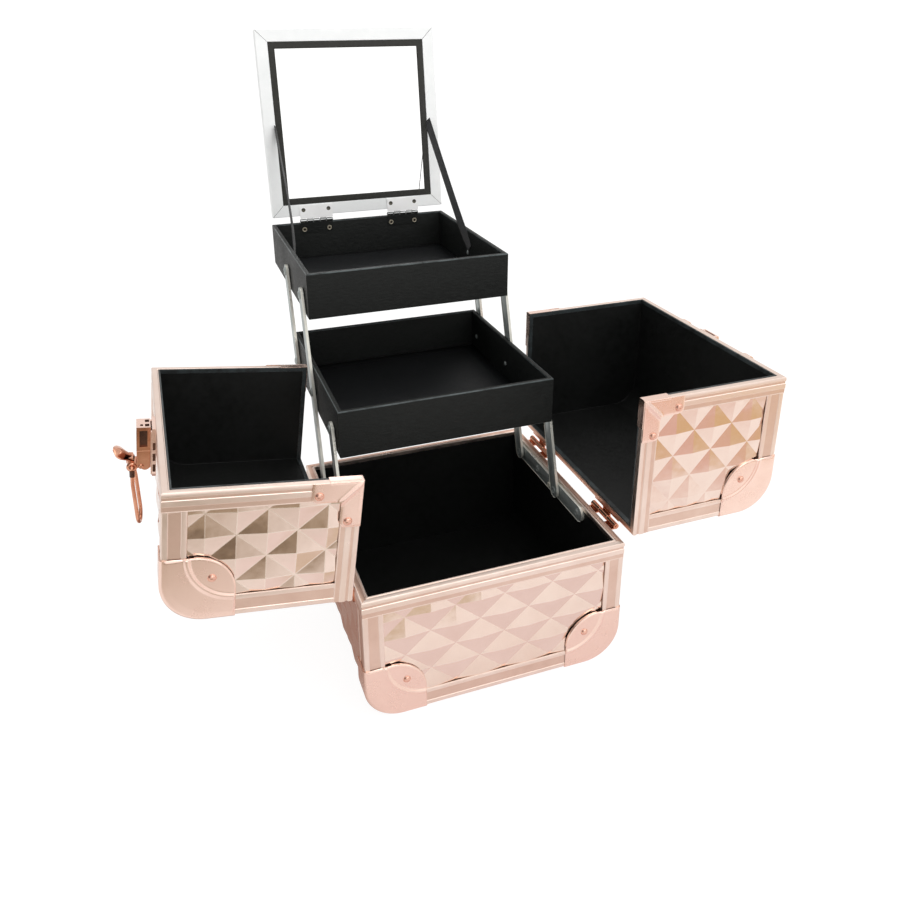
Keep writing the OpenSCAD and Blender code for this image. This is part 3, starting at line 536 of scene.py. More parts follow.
            b.width, b.segments, b.limit_method = bevel * 0.001, segments, "ANGLE"
            b.angle_limit, b.harden_normals = math.radians(limit), True
            b.use_clamp_overlap = True
            if line is not None:
                b.material = line
        if bend:
            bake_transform(obj)
        else:
            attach(obj, frame["nodes"][node]["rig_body"])
        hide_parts(node)
        return obj


# ---------- embossed skin ----------
def clip(poly, axis, value, keep_above):
    out = []
    for k, p in enumerate(poly):
        q = poly[(k + 1) % len(poly)]
        inside_p = p[axis] >= value if keep_above else p[axis] <= value
        inside_q = q[axis] >= value if keep_above else q[axis] <= value
        if inside_p:
            out.append(p)
        if inside_p != inside_q:
            t = (value - p[axis]) / (q[axis] - p[axis])
            out.append((p[0] + (q[0] - p[0]) * t, p[1] + (q[1] - p[1]) * t))
    return out


def facets(u0, u1, v0, v1, origin, steps, split=1):
    """Flat pieces of the embossed pattern inside a rectangle, as lists of (u, v, height).
    A point of the lattice where diamonds touch lies at origin."""
    ou, ov = origin
    su, sv = steps
    out = []
    for i in range(math.floor((u0 - ou) / su) - 1, math.ceil((u1 - ou) / su) + 1):
        for j in range(math.floor((v0 - ov) / sv) - 1, math.ceil((v1 - ov) / sv) + 1):
            c = [(i, j), (i + 1, j), (i + 1, j + 1), (i, j + 1)]
            even = (i + j) % 2 == 0
            tris = ((0, 1, 2), (0, 2, 3)) if even else ((0, 1, 3), (1, 2, 3))
            for t in tris:
                corners = [(ou + c[k][0] * su, ov + c[k][1] * sv,
                            0.0 if (c[k][0] + c[k][1]) % 2 == 0 else FACET_H) for k in t]
                a, b, d = (Vector(p) for p in corners)
                n = (b - a).cross(d - a)
                for small in subdivide([a, b, d], split):
                    poly = [(p.x, p.y) for p in small]
                    for axis, value, above in ((0, u0, True), (0, u1, False),
                                               (1, v0, True), (1, v1, False)):
                        poly = clip(poly, axis, value, above) if poly else poly
                    if len(poly) > 2:
                        out.append([(x, y, a.z - (n.x * (x - a.x) + n.y * (y - a.y)) / n.z)
                                    for x, y in poly])
    return out


def subdivide(tri, times):
    if times <= 1:
        return [tri]
    a, b, c = tri
    ab, bc, ca = (a + b) / 2, (b + c) / 2, (c + a) / 2
    out = []
    for t in ([a, ab, ca], [ab, b, bc], [ca, bc, c], [ab, bc, ca]):
        out += subdivide(t, times // 2)
    return out


def emboss(piece, polys, surface, border):
    """Adds the pattern on a surface(u, v, height), and a skirt down along the border rectangle."""
    u0, u1, v0, v1 = border
    sink = 1.0
    for poly in polys:
        piece.add([surface(u, v, h) for u, v, h in poly], [tuple(range(len(poly)))])
        n = len(poly)
        for k in range(n):
            p, q = poly[k], poly[(k + 1) % n]
            for axis, value in ((0, u0), (0, u1), (1, v0), (1, v1)):
                if abs(p[axis] - value) < 1e-4 and abs(q[axis] - value) < 1e-4:
                    piece.add([surface(*p), surface(*q), surface(*q[:2], -sink),
                               surface(*p[:2], -sink)], [(3, 2, 1, 0)])


def base_outline(depth, top, steps=10):
    """The base seen from the front: x-z points, anticlockwise from the top right."""
    w, r = HALF_W - depth, EDGE_R - depth
    return ([(w, top), (-w, top)] + arc(r - w, depth + r, r, 180, 270, steps)
            + arc(w - r, depth + r, r, 270, 360, steps))


def lid_outline(depth, split, lift, steps=10):
    """A lid seen from the front in its closed place, its curved edge at the upper right."""
    w, z1, r = HALF_W - depth, LID_Z1 - depth, EDGE_R - depth
    return ([(split + lift, z1), (split + lift, LID_Z0 + lift), (w, LID_Z0 + lift)]
            + arc(w - r, z1 - r, r, 0, 90, steps))


def base_wall(depth, steps=12):
    """The base's U-shaped wall seen from the front, from mouth to mouth."""
    r = EDGE_R - depth
    return ([(-HALF_W + depth, BASE_H - MOUTH_IN)]
            + arc(-HALF_W + EDGE_R, EDGE_R, r, 180, 270, steps)
            + arc(HALF_W - EDGE_R, EDGE_R, r, 270, 360, steps)
            + [(HALF_W - depth, BASE_H - MOUTH_IN)])


def lid_wall(depth, split, inset, steps=12):
    """A lid's L-shaped wall seen from the front, from its lower edge round to the split."""
    corner = HALF_W - EDGE_R, LID_Z1 - EDGE_R
    return ([(HALF_W - depth, LID_Z0 + inset)] + arc(*corner, EDGE_R - depth, 0, 90, steps)
            + [(split + inset, LID_Z1 - depth)])


def end_panel(node, place, outline, window, pattern, rear, ridge_lines="skin"):
    """A front or rear panel: a flat board with the embossed sheet in its window."""
    p = Piece()
    p.bar(outline, towards_front(0, -BOARD_END, 0), BOARD_IN - VALLEY_IN - FACE_GAP)
    emboss(p, facets(*window, *pattern), lambda u, v, h: (u, VALLEY_IN - HALF_D - h, v), window)
    # The bevels along ridges and valleys take the second material; for the left lid it is a paler
    # foil, a painted highlight line.
    p.make(node, place @ FLIP_Y if rear else place, ["skin", ridge_lines], bevel=0.34, limit=7,
           smooth=3, line=1)


def embossed_wall(piece, line, start, place=SAME):
    """The embossed sheet on a bent wall; start is where the pattern begins along the line."""
    surface, length = surface_on(line)
    window = (0.0, length, -WINDOW_Y, WINDOW_Y)
    sheet = Piece()
    emboss(sheet, facets(*window, (start, 0.0), WALL_STEPS, 8), surface, window)
    piece.add(sheet.verts, sheet.faces, 0, place)


def surface_on(points):
    """Returns surface(u, y, height) over a developed x-z line whose outside is on its right,
    and the line's length."""
    lengths, normals = [0.0], []
    for a, b in zip(points, points[1:]):
        lengths.append(lengths[-1] + math.dist(a, b))
    for k in range(len(points)):
        a, b = points[max(k - 1, 0)], points[min(k + 1, len(points) - 1)]
        d = Vector((b[0] - a[0], b[1] - a[1])).normalized()
        normals.append((d.y, -d.x))

    def surface(u, y, h):
        u = min(max(u, 0.0), lengths[-1])
        k = 1
        while k < len(points) - 1 and lengths[k] < u:
            k += 1
        a, b = points[k - 1], points[k]
        t = (u - lengths[k - 1]) / (lengths[k] - lengths[k - 1])
        nx, nz = (p * (1 - t) + q * t for p, q in zip(normals[k - 1], normals[k]))
        length = math.hypot(nx, nz) or 1.0
        return (a[0] + (b[0] - a[0]) * t + nx / length * h, y,
                a[1] + (b[1] - a[1]) * t + nz / length * h)

    return surface, lengths[-1]


def band(piece, outer, inner, y_end):
    """A bent wall between two matching open outlines, from -y_end to y_end."""
    rows = [[(x, y, z) for x, z in outer + inner[::-1]] for y in (-y_end, y_end)]
    piece.grid(rows, loop=True)
    n = len(outer)
    for row, flip in ((rows[0], False), (rows[1], True)):
        quads = [(k, k + 1, 2 * n - 2 - k, 2 * n - 1 - k) for k in range(n - 1)]
        piece.add(row, [q[::-1] if flip else q for q in quads])


# ---------- ribbed metal edges ----------
RIBS = [(0.9, 0.26), (3.4, 0.30), (3.8, -0.05), (10.9, -0.05), (11.3, 0.28), (13.6, 0.30),
        (14.3, 0.1), (14.5, -0.35)]
RIM_RIBS = [(0.0, -0.5), (0.12, -0.12), (0.5, 0.12), (1.2, 0.28), (2.9, 0.30), (3.3, -0.1),
            (4.9, -0.1), (5.3, 0.26), (8.9, 0.30), (9.2, 0.05), (12.2, 0.05), (12.5, 0.16),
            (12.9, 0.1), (13.0, -0.4)]
BANDS = ((3.3, 4.9), (3.8, 10.9), (9.2, 12.2))
TRIM_LOOK = {"bevel": 0.1, "limit": 25, "smooth": 20}


def band_tags(outline, span_of):
    """1 for each edge of a closed outline that lies in a sunk band, else 0; band edges get the darker
    trim, a painted shade.
    """
    tags = []
    for k, p in enumerate(outline):
        a, b = sorted((span_of(p), span_of(outline[(k + 1) % len(outline)])))
        tags.append(1 if (round(a, 3), round(b, 3)) in BANDS else 0)
    return tags


def angle_outline():
    """Section of the corner trim: outside corner at the origin, legs along +x and +y."""
    front = [(s, -o) for s, o in RIBS]
    side = [(-o, s) for s, o in RIBS]
    corner = [(-0.24, 0.75), (-0.12, 0.3), (0.3, -0.12), (0.75, -0.24)]
    return (front[::-1] + corner[::-1] + side
            + [(0.6, TRIM_W), (1.2, TRIM_W - 0.4), (1.2, 1.2), (TRIM_W - 0.4, 1.2),
               (TRIM_W, 0.6)])


ANGLE = angle_outline()
ANGLE_TAGS = band_tags(ANGLE, max)


def base_trims():
    """Angles up the four corners and along the front and rear bottom edges, between the guards."""
    p = Piece()
    for sx in LEFT_AND_RIGHT:
        for sy in FRONT_AND_REAR:
            p.bar(ANGLE, sx @ sy @ move(-HALF_W + TRIM_IN, -HALF_D + TRIM_IN, GUARD_LEG - 2),
                  BASE_H - RIM_W + 2.6 - GUARD_LEG, edge_tags=ANGLE_TAGS)
    for sy in FRONT_AND_REAR:
        p.bar(ANGLE, sy @ towards_right(-HALF_W + GUARD_LEG - 2, -HALF_D + TRIM_IN, TRIM_IN),
              2 * (HALF_W - GUARD_LEG + 2), edge_tags=ANGLE_TAGS)
    p.make("base_trims", MM, ["trim", "trim_shade"], **TRIM_LOOK)


# Closed (inward, height) section of a rim; heights are below the mouth's edge
RIM = ([(TRIM_IN - o, -s) for s, o in RIM_RIBS][::-1]
       + [(2.0, 0.05), (4.9, 0.05), (5.2, -0.3), (5.75, -0.3), (6.0, 0.22), (6.8, 0.24),
          (7.15, -0.1), (7.15, -3.2), (6.3, -3.2), (6.3, -1.25), (2.5, -1.25), (2.5, -RIM_W)])
RIM_TAGS = band_tags(RIM, lambda p: -p[1])
RIM_TAGS = [2 if 5.7 < min(a[0], b[0]) and max(a[1], b[1]) > -0.5 else t
            for a, b, t in zip(RIM, RIM[1:] + RIM[:1], RIM_TAGS)]


# The same with a darker cap, for the edges that face each other across the hinges: the darker cap is
# painted shade and reflection of the dark insides facing them
SHADED_CAP_TAGS = [3 if 1.9 < min(a[0], b[0]) and max(a[0], b[0]) < 5.3 and min(a[1], b[1]) > -0.5 else t
            for a, b, t in zip(RIM, RIM[1:] + RIM[:1], RIM_TAGS)]


def base_rim():
    p = Piece()
    p.ring([(d, BASE_H + h) for d, h in RIM], (-HALF_W, HALF_W, -HALF_D, HALF_D),
           edge_tags=SHADED_CAP_TAGS)
    # The front edge keeps the plain trim; the darker cap, a painted shade, stays on the other three
    # sides.
    for k, face in enumerate(p.faces):
        if p.tags[k] == 3 and all(p.verts[i][1] < 6 - HALF_D for i in face):
            p.tags[k] = 0
    p.make("base_rim", MM, ["trim", "trim_shade", "trim", "rim_cap_shade"], **TRIM_LOOK)


def lid_rim(side, place):
    """Rim round a lid's two open sides: the split and the bottom."""
    p = Piece()
    split = SPLIT[side]
    for sy in FRONT_AND_REAR:
        p.bar(RIM, sy @ frame_of((split, -HALF_D, LID_Z0), (0, 1, 0), (-1, 0, 0), (0, 0, 1)),
              LID_Z1 - LID_Z0, mitre0=(0, -1), mitre1=(-1, 0), edge_tags=RIM_TAGS)
        p.bar(RIM, sy @ frame_of((split, -HALF_D, LID_Z0), (0, 1, 0), (0, 0, -1), (1, 0, 0)),
              HALF_W - split, mitre0=(0, -1), mitre1=(-1, 0), edge_tags=RIM_TAGS)
    p.bar(RIM, frame_of((split, -HALF_D, LID_Z1), (0, 0, -1), (-1, 0, 0), (0, 1, 0)),
          2 * HALF_D, mitre0=(1, 0), mitre1=(-1, 0), edge_tags=RIM_TAGS)
    # The edge by the hinge gets the darker cap: painted shade and reflection of the dark insides
    # across the hinge.
    p.bar(RIM, frame_of((HALF_W, -HALF_D, LID_Z0), (-1, 0, 0), (0, 0, -1), (0, 1, 0)),
          2 * HALF_D, mitre0=(1, 0), mitre1=(-1, 0), edge_tags=SHADED_CAP_TAGS)
    p.make(side + "_rim", place, ["trim", "trim_shade", "lining_edge", "rim_cap_shade"], **TRIM_LOOK)


def lid_trims(side, place):
    p = Piece()
    start = SPLIT[side] + RIM_W - 0.6
    for flip in FRONT_AND_REAR:
        p.bar(ANGLE, flip @ move(HALF_W - TRIM_IN, 0, 0) @ FLIP_X
              @ move(0, -HALF_D + TRIM_IN, LID_Z0 + RIM_W - 0.6),
              LID_Z1 - GUARD_LEG + 2.6 - LID_Z0 - RIM_W, edge_tags=ANGLE_TAGS)
        p.bar(ANGLE, flip @ move(0, 0, LID_Z1 - TRIM_IN) @ FLIP_Z
              @ towards_right(start, -HALF_D + TRIM_IN, 0),
              HALF_W - GUARD_LEG + 2.6 - SPLIT[side] - RIM_W, edge_tags=ANGLE_TAGS)
    p.make(side + "_trims", place, ["trim", "trim_shade"], **TRIM_LOOK)


# ---------- pressed corners ----------
def guard_sheet(piece, at):
    """A pressed corner guard whose case corner is the origin: face in x-z, flange along +y."""
    across_steps, along_steps = 64, 64
    leg, w, r = GUARD_LEG, GUARD_ARM, EDGE_R
    lobe, straight, quarter = leg - w, leg - r, math.pi / 2 * r
    bend, flange, drop = 2.4, 18.0, 0.7
    rib_at, rib_r, rib_half, rib_h = 45.5, 29.8, 2.3, 0.8
    fold = [math.radians(d) for d in frange(0, 90, 6)]

    def edge(t, inset):
        """Point on the outside edge, t from 0 at the upper leg end to 1 at the other."""
        s = t * (2 * straight + quarter)
        if s < straight:
            return (inset, leg - s)
        if s < straight + quarter:
            a = math.pi + (s - straight) / r
            return (r + (r - inset) * math.cos(a), r + (r - inset) * math.sin(a))
        return (r + s - straight - quarter, inset)

    def lift(x, z, ribbed):
        """How far the face stands out: a curved rib and raised plate, falling off at the lobe."""
        from_rib = math.hypot(x - rib_at, z - rib_at) - rib_r
        plate = 0.16 * min(1.0, max(0.0, from_rib / 3.0 + 0.5))
        if not ribbed:
            return plate
        rib = rib_h * max(0.0, 1 - (from_rib / rib_half) ** 2) ** 1.5
        inside = lobe - math.hypot(max(x - w, 0), max(z - w, 0))
        ease = math.sqrt(1 - (1 - min(1.0, max(0.0, inside / 1.3))) ** 2)
        return (rib + plate) * ease - (1 - ease) * drop

    def rows(ribbed):
        out = []
        for t in frange(0.0, 1.0, along_steps):
            row = [(*edge(t, 0.0), y) for y in (flange, flange * 0.5, bend + 1.0)]
            row += [(*edge(t, bend * (1 - math.cos(a))), bend * (1 - math.sin(a))) for a in fold]
            x0, z0 = edge(t, bend)
            a = math.radians(90) * (1 - t)
            x1, z1 = w + lobe * math.cos(a), w + lobe * math.sin(a)
            for j in range(1, across_steps + 1):
                q = 1 - (1 - j / across_steps) ** 1.25
                x, z = x0 + (x1 - x0) * q, z0 + (z1 - z0) * q
                row.append((x, z, -lift(x, z, ribbed) * min(1.0, q * 8)))
            out.append([(x, y, z) for x, z, y in row])
        return out

    piece.shell(rows(True), 0.95, at, under=rows(False), hem=0.9)


def guards(node, place, spots):
    p = Piece()
    for m in spots:
        guard_sheet(p, m)
    p.make(node, place, bevel=0.18, limit=50, smooth=40, merge=False)


def dome(piece, at, r=2.5, h=1.9, lip=0.3):
    """A rivet head standing on its face, with a thin pressed lip under it."""
    ball = [(r * math.sin(math.radians(a)), lip + (h - lip) * math.cos(math.radians(a)))
            for a in frange(90, 8, 7)]
    piece.lathe([(r + lip, 0.0), (r + lip, 0.12), (r + 0.1, lip * 0.7)] + ball, at)


def bracket_sheet(piece, at):
    """Pressed L bracket: two pillowed legs with a ridge on the mitre, wrapped over the edges."""
    leg, w, r = BRACKET_LEG, BRACKET_ARM, 4.0
    wrap = [(2.6, -0.46)] + [(1.2 - 1.7 * math.sin(a), 1.24 - 1.7 * math.cos(a))
                             for a in (math.radians(d) for d in frange(0, 90, 7))]
    wrap += [(-0.5, 4.0), (-0.5, 7.0)]
    face_rows = []
    for s in frange(0.0, 1.0, 36):
        row = []
        for z in frange(0.0, w, 18):
            end = leg
            if z > w - r:
                end = leg - r + math.sqrt(max(0.0, r * r - (z - (w - r)) ** 2))
            x = z + (end - z) * s
            ridge = 1.0 * math.exp(-(((x - z) / 1.41) / 1.5) ** 2) * min(1.0, z / 2.0)
            away = min(z + 2.0, w - z, end - x + 0.001)
            row.append((x, -0.35 * (1 - math.exp(-away / 0.7)) - ridge, z))
        face_rows.append(row)
    wrap_rows = [[(z + (21.0 - z) * i / 12, y, z) for z, y in wrap] for i in range(13)]
    for turned in (False, True):
        for rows, thick, probe in ((face_rows, 0.7, None), (wrap_rows, 0.45, (6, 0))):
            if turned:
                rows = [[(z, y, x) for x, y, z in row] for row in rows]
            piece.shell(rows, thick, at, probe=probe)


def lid_brackets(side, place):
    p = Piece()
    for sy in FRONT_AND_REAR:
        bracket_sheet(p, sy @ move(SPLIT[side], -HALF_D + 0.2, LID_Z0))
    p.make(side + "_brackets", place, bevel=0.12, limit=50, smooth=38, merge=False)


def lid_rivets(side, place):
    p = Piece()
    split = SPLIT[side]
    for sy in FRONT_AND_REAR:
        dome(p, sy @ towards_front(HALF_W - GUARD_RIVET, -HALF_D + 0.1, LID_Z1 - GUARD_RIVET))
        for u, w in ((BRACKET_NEAR, BRACKET_FAR), (BRACKET_FAR, BRACKET_NEAR)):
            dome(p, sy @ towards_front(split + u, -HALF_D - 0.1, LID_Z0 + w), 2.7, 2.0)
    p.make(side + "_rivets", place, ["rivet"], smooth=50)


# ---------- base and lids ----------
WALL_LOOK = {"mats": ["skin"], "bevel": 0.3, "limit": 6.2, "smooth": 5.8}


def base_box():
    side = HALF_W - TRIM_IN - TRIM_W + LAP
    window = (-side, side, TRIM_IN + TRIM_W - LAP, BASE_H - RIM_W + LAP)
    for node, rear in (("base_front_panel", False), ("base_rear_panel", True)):
        end_panel(node, MM, base_outline(SKIN_IN, BASE_H - MOUTH_IN), window, PATTERN["base"], rear)
    wrap = Piece()
    band(wrap, base_wall(VALLEY_IN + FACE_GAP), base_wall(BOARD_IN), BOARD_END)
    line = ([(-HALF_W + VALLEY_IN, BASE_H - RIM_W + LAP)]
            + arc(-HALF_W + EDGE_R, EDGE_R, EDGE_R - VALLEY_IN, 180, 270, 24)
            + [(-HALF_W + GUARD_LEG + 1, VALLEY_IN)])
    for flip in LEFT_AND_RIGHT:
        embossed_wall(wrap, line, 6.0, flip)
    foot_x, foot_y = HALF_W - GUARD_LEG - 1, HALF_D - TRIM_W - 2
    wrap.bar([(-foot_x, -foot_y), (foot_x, -foot_y), (foot_x, foot_y), (-foot_x, foot_y)], SAME,
             BOARD_IN)
    wrap.make("base_wrap", MM, **WALL_LOOK)
    base_trims()
    base_rim()
    corners = [sx @ sy for sx in LEFT_AND_RIGHT for sy in FRONT_AND_REAR]
    guards("base_corner_guards", MM, [m @ move(-HALF_W, -HALF_D, 0) for m in corners])
    rivets = Piece()
    for m in corners:
        dome(rivets, m @ towards_front(-HALF_W + GUARD_RIVET, -HALF_D + 0.1, GUARD_RIVET))
    rivets.make("base_rivets", MM, ["rivet"], smooth=50)
    lining = Piece()
    inner = base_wall(INNER_IN)
    band(lining, base_wall(BOARD_IN + LAP), inner, BOARD_END - LAP)
    seam = ([(inner[0][0] + 0.2, inner[0][1] - 3)] + [(x * 0.998, z + 0.15) for x, z in inner[1:-1]]
            + [(inner[-1][0] - 0.2, inner[-1][1] - 3)])
    lining_ends(lining, base_outline(INNER_IN - 0.02, BASE_H - MOUTH_IN - 0.4), seam, 0.25)
    lining.make("base_lining", MM, ["lining", "lining_edge"], smooth=35)


def lining_ends(piece, outline, seam, radius):
    """The front and rear sheets of a lining, and the rounded seam along each."""
    y = -HALF_D + INNER_IN
    for flip in FRONT_AND_REAR:
        piece.bar(outline, flip @ towards_front(0, y, 0), INNER_IN - BOARD_IN - LAP)
        piece.tube([(x, y + 0.15, z) for x, z in seam], radius, flip, 6)


def lid_box(side, place):
    split = SPLIT[side]
    window = (split + RIM_W - LAP, HALF_W - TRIM_IN - TRIM_W + LAP,
              LID_Z0 + RIM_W - LAP, LID_Z1 - TRIM_IN - TRIM_W + LAP)
    # On the left lid the ridge and valley bevels get the paler foil, a painted highlight line.
    for node, rear in (("_front_panel", False), ("_rear_panel", True)):
        end_panel(side + node, place, lid_outline(SKIN_IN, split, MOUTH_IN), window, PATTERN[side],
                  rear, "skin_ridge_highlight" if side == "left" else "skin")
    wrap = Piece()
    band(wrap, lid_wall(VALLEY_IN + FACE_GAP, split, MOUTH_IN)[::-1],
         lid_wall(BOARD_IN, split, MOUTH_IN)[::-1], BOARD_END)
    embossed_wall(wrap, lid_wall(VALLEY_IN, split, RIM_W - LAP), 9.0)
    wrap.make(side + "_wrap", place, **WALL_LOOK)
    lid_rim(side, place)
    lid_trims(side, place)
    guards(side + "_corner_guards", place,
           [m @ move(HALF_W, -HALF_D, LID_Z1) @ FLIP_X @ FLIP_Z for m in FRONT_AND_REAR])
    lid_brackets(side, place)
    lid_rivets(side, place)
    lining = Piece()
    inner = lid_wall(INNER_IN, split, MOUTH_IN)
    band(lining, lid_wall(BOARD_IN + LAP, split, MOUTH_IN)[::-1], inner[::-1], BOARD_END - LAP)
    lining_ends(lining, lid_outline(INNER_IN - 0.02, split, 1.6),
                [(x - 0.15, z - 0.15) for x, z in inner], 0.3)
    lining.make(side + "_lining", place, ["lining", "lining_edge"], smooth=35)


# ---------- trays ----------
def tray(node, front, top):
    w, t, low = TRAY_W / 2, TRAY_T, top - TRAY_H
    box = (-w, w, front, front + TRAY_D)
    e = 0.45
    walls = Piece()
    walls.ring([(0.6, low), (0.0, low + 0.6), (0.0, top - e - 0.5), (0.12, top - e * 0.5),
                (e + 0.1, top), (t - e - 0.1, top), (t - 0.12, top - e * 0.5), (t, top - e - 0.5),
                (t, low + t)], box, edge_tags=[1, 0, 1, 1, 0, 0, 1, 0], closed=False)
    walls.sheet(box, 0.6, low, up=False)
    walls.sheet(box, t, low + t)
    walls.make(node, MM, ["tray_vinyl", "vinyl_edge"], smooth=25)
    # The pad lies on the floor, its edges turned down and slightly cushioned
    x0, x1, y0, y1 = t + 0.15 - w, w - t - 0.15, front + t + 0.15, front + TRAY_D - t - 0.15
    rows = []
    for y in frange(y0, y1, 16):
        row = []
        for x in frange(x0, x1, 16):
            edge = min(x - x0, x1 - x, y - y0, y1 - y)
            z = low + t + 1.0 - 0.75 * math.exp(-edge / 0.8)
            row.append((x, y, z + 0.12 * math.sin(x * 0.05 + 1.0) * math.sin(y * 0.043)))
        rows.append(row)
    pad = Piece()
    pad.grid(rows)
    pad.make(node + "_floor", MM, smooth=60, solid=0.7, recalc=False)


# ---------- mirror lid ----------
def mirror_rails(box, z0, z1):
    """Four mitred rails with a dark joint at each corner."""
    p = Piece()
    x0, x1, y0, y1 = box
    rail = [(0.0, z1 - 0.5), (0.5, z1), (RAIL_W, z1), (RAIL_W, z0 + 0.25), (RAIL_W - 0.25, z0),
            (0.3, z0), (0.0, z0 + 0.3)]
    gap = 0.22
    for (ox, oy), along, inward, length in (
            ((x0, y0), (1, 0, 0), (0, 1, 0), x1 - x0), ((x1, y0), (0, 1, 0), (-1, 0, 0), y1 - y0),
            ((x1, y1), (-1, 0, 0), (0, -1, 0), x1 - x0), ((x0, y1), (0, -1, 0), (1, 0, 0), y1 - y0)):
        at = frame_of((ox, oy, 0), inward, (0, 0, 1), along) @ move(0, 0, gap)
        p.bar(rail, at, length - 2 * gap, mitre0=(1, 0), mitre1=(-1, 0))
    for cx, sx in ((x0, 1), (x1, -1)):
        for cy, sy in ((y0, 1), (y1, -1)):
            run = Vector((sx, sy, 0)).normalized()
            at = frame_of((cx, cy, 0), (-run.y, run.x, 0), (0, 0, 1), run) @ move(0, 0, 1.0)
            p.bar([(-0.9, z0 + 0.5), (0.9, z0 + 0.5), (0.9, z1 - 0.5), (-0.9, z1 - 0.5)], at,
                  RAIL_W * 1.414 - 1.5, tag=1)
    p.make("mirror_frame", MIRROR, ["frame_rail", "gap"], bevel=0.1, limit=40, merge=False, smooth=30)


def mirror_lid():
    """The lid face down as when closed: glass and bezel below, backing above."""
    w = MIRROR_W / 2
    z0, z1 = MIRROR_IN_Z, MIRROR_IN_Z + MIRROR_T
    mirror_rails((-w, w, MIRROR_FRONT, MIRROR_REAR), z0, z1)
    margin = RAIL_W + 0.1
    inner = (margin - w, w - margin, MIRROR_FRONT + margin, MIRROR_REAR - margin)
    glass, bezel, backing = Piece(), Piece(), Piece()
    low = z0 + 1.3
    glass.ring([(0.0, low + 2.0), (0.0, low + 0.9), (0.9, low + 0.02)], inner, closed=False)
    glass.sheet(inner, 0.9, low + 0.02, up=False)
    glass.sheet(inner, 0.0, low + 2.0)
    glass.make("mirror_glass", MIRROR, smooth=20)
    wide = BEZEL_W - 0.1
    bezel.ring([(0.0, z0 + 1.25), (0.0, z0 + 0.55), (0.5, z0 + 0.35), (wide - 0.6, z0 + 0.35),
                (wide, z0 + 0.9), (wide, z0 + 1.25)], inner)
    bezel.make("mirror_bezel", MIRROR, bevel=0.1, limit=40, smooth=30)
    backing.ring([(0.0, low + 2.1), (0.0, z1 - 0.8), (0.5, z1 - 0.4)], inner, closed=False)
    backing.sheet(inner, 0.5, z1 - 0.4)
    backing.sheet(inner, 0.0, low + 2.1, up=False)
    backing.make("mirror_backing", MIRROR, smooth=30)


def ribbons():
    """Flat stays: each riveted to the tray's inner wall and tacked to the mirror frame."""
    foot = Vector((82.6, MIRROR_Y - 89.5, TOP_TOP - 16.0))
    head = mirror_point(75.0, -89.0, MIRROR_IN_Z - 0.5)
    wall_in = Vector((-1.0, 0.0, 0.0))
    face_out = (mirror_point(0, 0, -1.0) - mirror_point(0, 0, 0)).normalized()
    p = Piece()
    count = 48
    for sx in (1, -1):
        rows = []
        sag = 0.6 if sx > 0 else 3.0
        for i in range(count + 1):
            t = i / count
            mid = foot.lerp(head, t)
            mid.x -= sag * math.sin(math.pi * t ** 0.6) ** 1.5
            run = (head - foot).normalized()
            turn = 0.40 * math.sin(min(1.0, t * 6.0) * math.pi / 2)
            normal = wall_in * math.sqrt(1 - turn * turn) + face_out * turn
            normal = (normal - run * normal.dot(run)).normalized()
            across = run.cross(normal)
            half = 4.6 - 0.3 * math.sin(math.pi * t)
            row = []
            for k in range(9):
                s = (k / 8 - 0.5) * 2 * half
                point = mid + across * s + normal * (0.25 * (1 - (2 * k / 8 - 1) ** 2))
                row.append((sx * point.x, point.y, point.z))
            rows.append(row)
        p.shell(rows, 0.5, out=(-sx, 0, 0), probe=(2, 4))
    ends = [(0.0, e.y * 0.001, e.z * 0.001) for e in (foot, head)]
    bodies = [frame["nodes"][n]["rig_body"] for n in ("top_tray", "mirror_frame")]
    p.make("mirror_stays", MM, smooth=60, merge=False, bend=(*bodies, *ends))


def plate_with_holes(piece, x0, x1, y0, y1, z0, z1, holes, at):
    """A flat strip along x with round holes (x, y, radius) cut through it."""
    sides = 20

    def reach(d, low, high):
        """How far a ray with slope d goes before it leaves low to high."""
        return (high if d > 0 else low) / d if abs(d) > 1e-6 else 1e9

    cuts = [x0] + [(a[0] + b[0]) / 2 for a, b in zip(holes, holes[1:])] + [x1]
    for (hx, hy, r), c0, c1 in zip(holes, cuts, cuts[1:]):
        square, ring = [], []
        for k in range(sides):
            a = 2 * math.pi * (k + 0.5) / sides
            dx, dy = math.cos(a), math.sin(a)
            far = min(reach(dx, c0 - hx, c1 - hx), reach(dy, y0 - hy, y1 - hy))
            square.append([hx + dx * far, hy + dy * far])
            ring.append((hx + dx * r, hy + dy * r))
        for corner in ((c0, y0), (c1, y0), (c1, y1), (c0, y1)):
            near = min(range(sides), key=lambda k: math.dist(square[k], corner))
            square[near] = list(corner)
        piece.grid([[(x, y, z) for x, y in line] for line, z in
                    ((square, z1), (ring, z1), (ring, z0), (square, z0))], 0, at, loop=True)
    edge = ((x0, y0), (x1, y0), (x1, y1), (x0, y1))
    piece.grid([[(x, y, z) for x, y in edge] for z in (z1, z0)], 0, at, loop=True)


def rolled(piece, spans, r, at):
    """Knuckles round the x axis, each a short tube with eased ends."""
    for a, b in spans:
        piece.lathe([(r * 0.55, a), (r - 0.25, a), (r, a + 0.25), (r, b - 0.25),
                     (r - 0.25, b), (r * 0.55, b)], at @ towards_right(0, 0, 0), 20, 1)


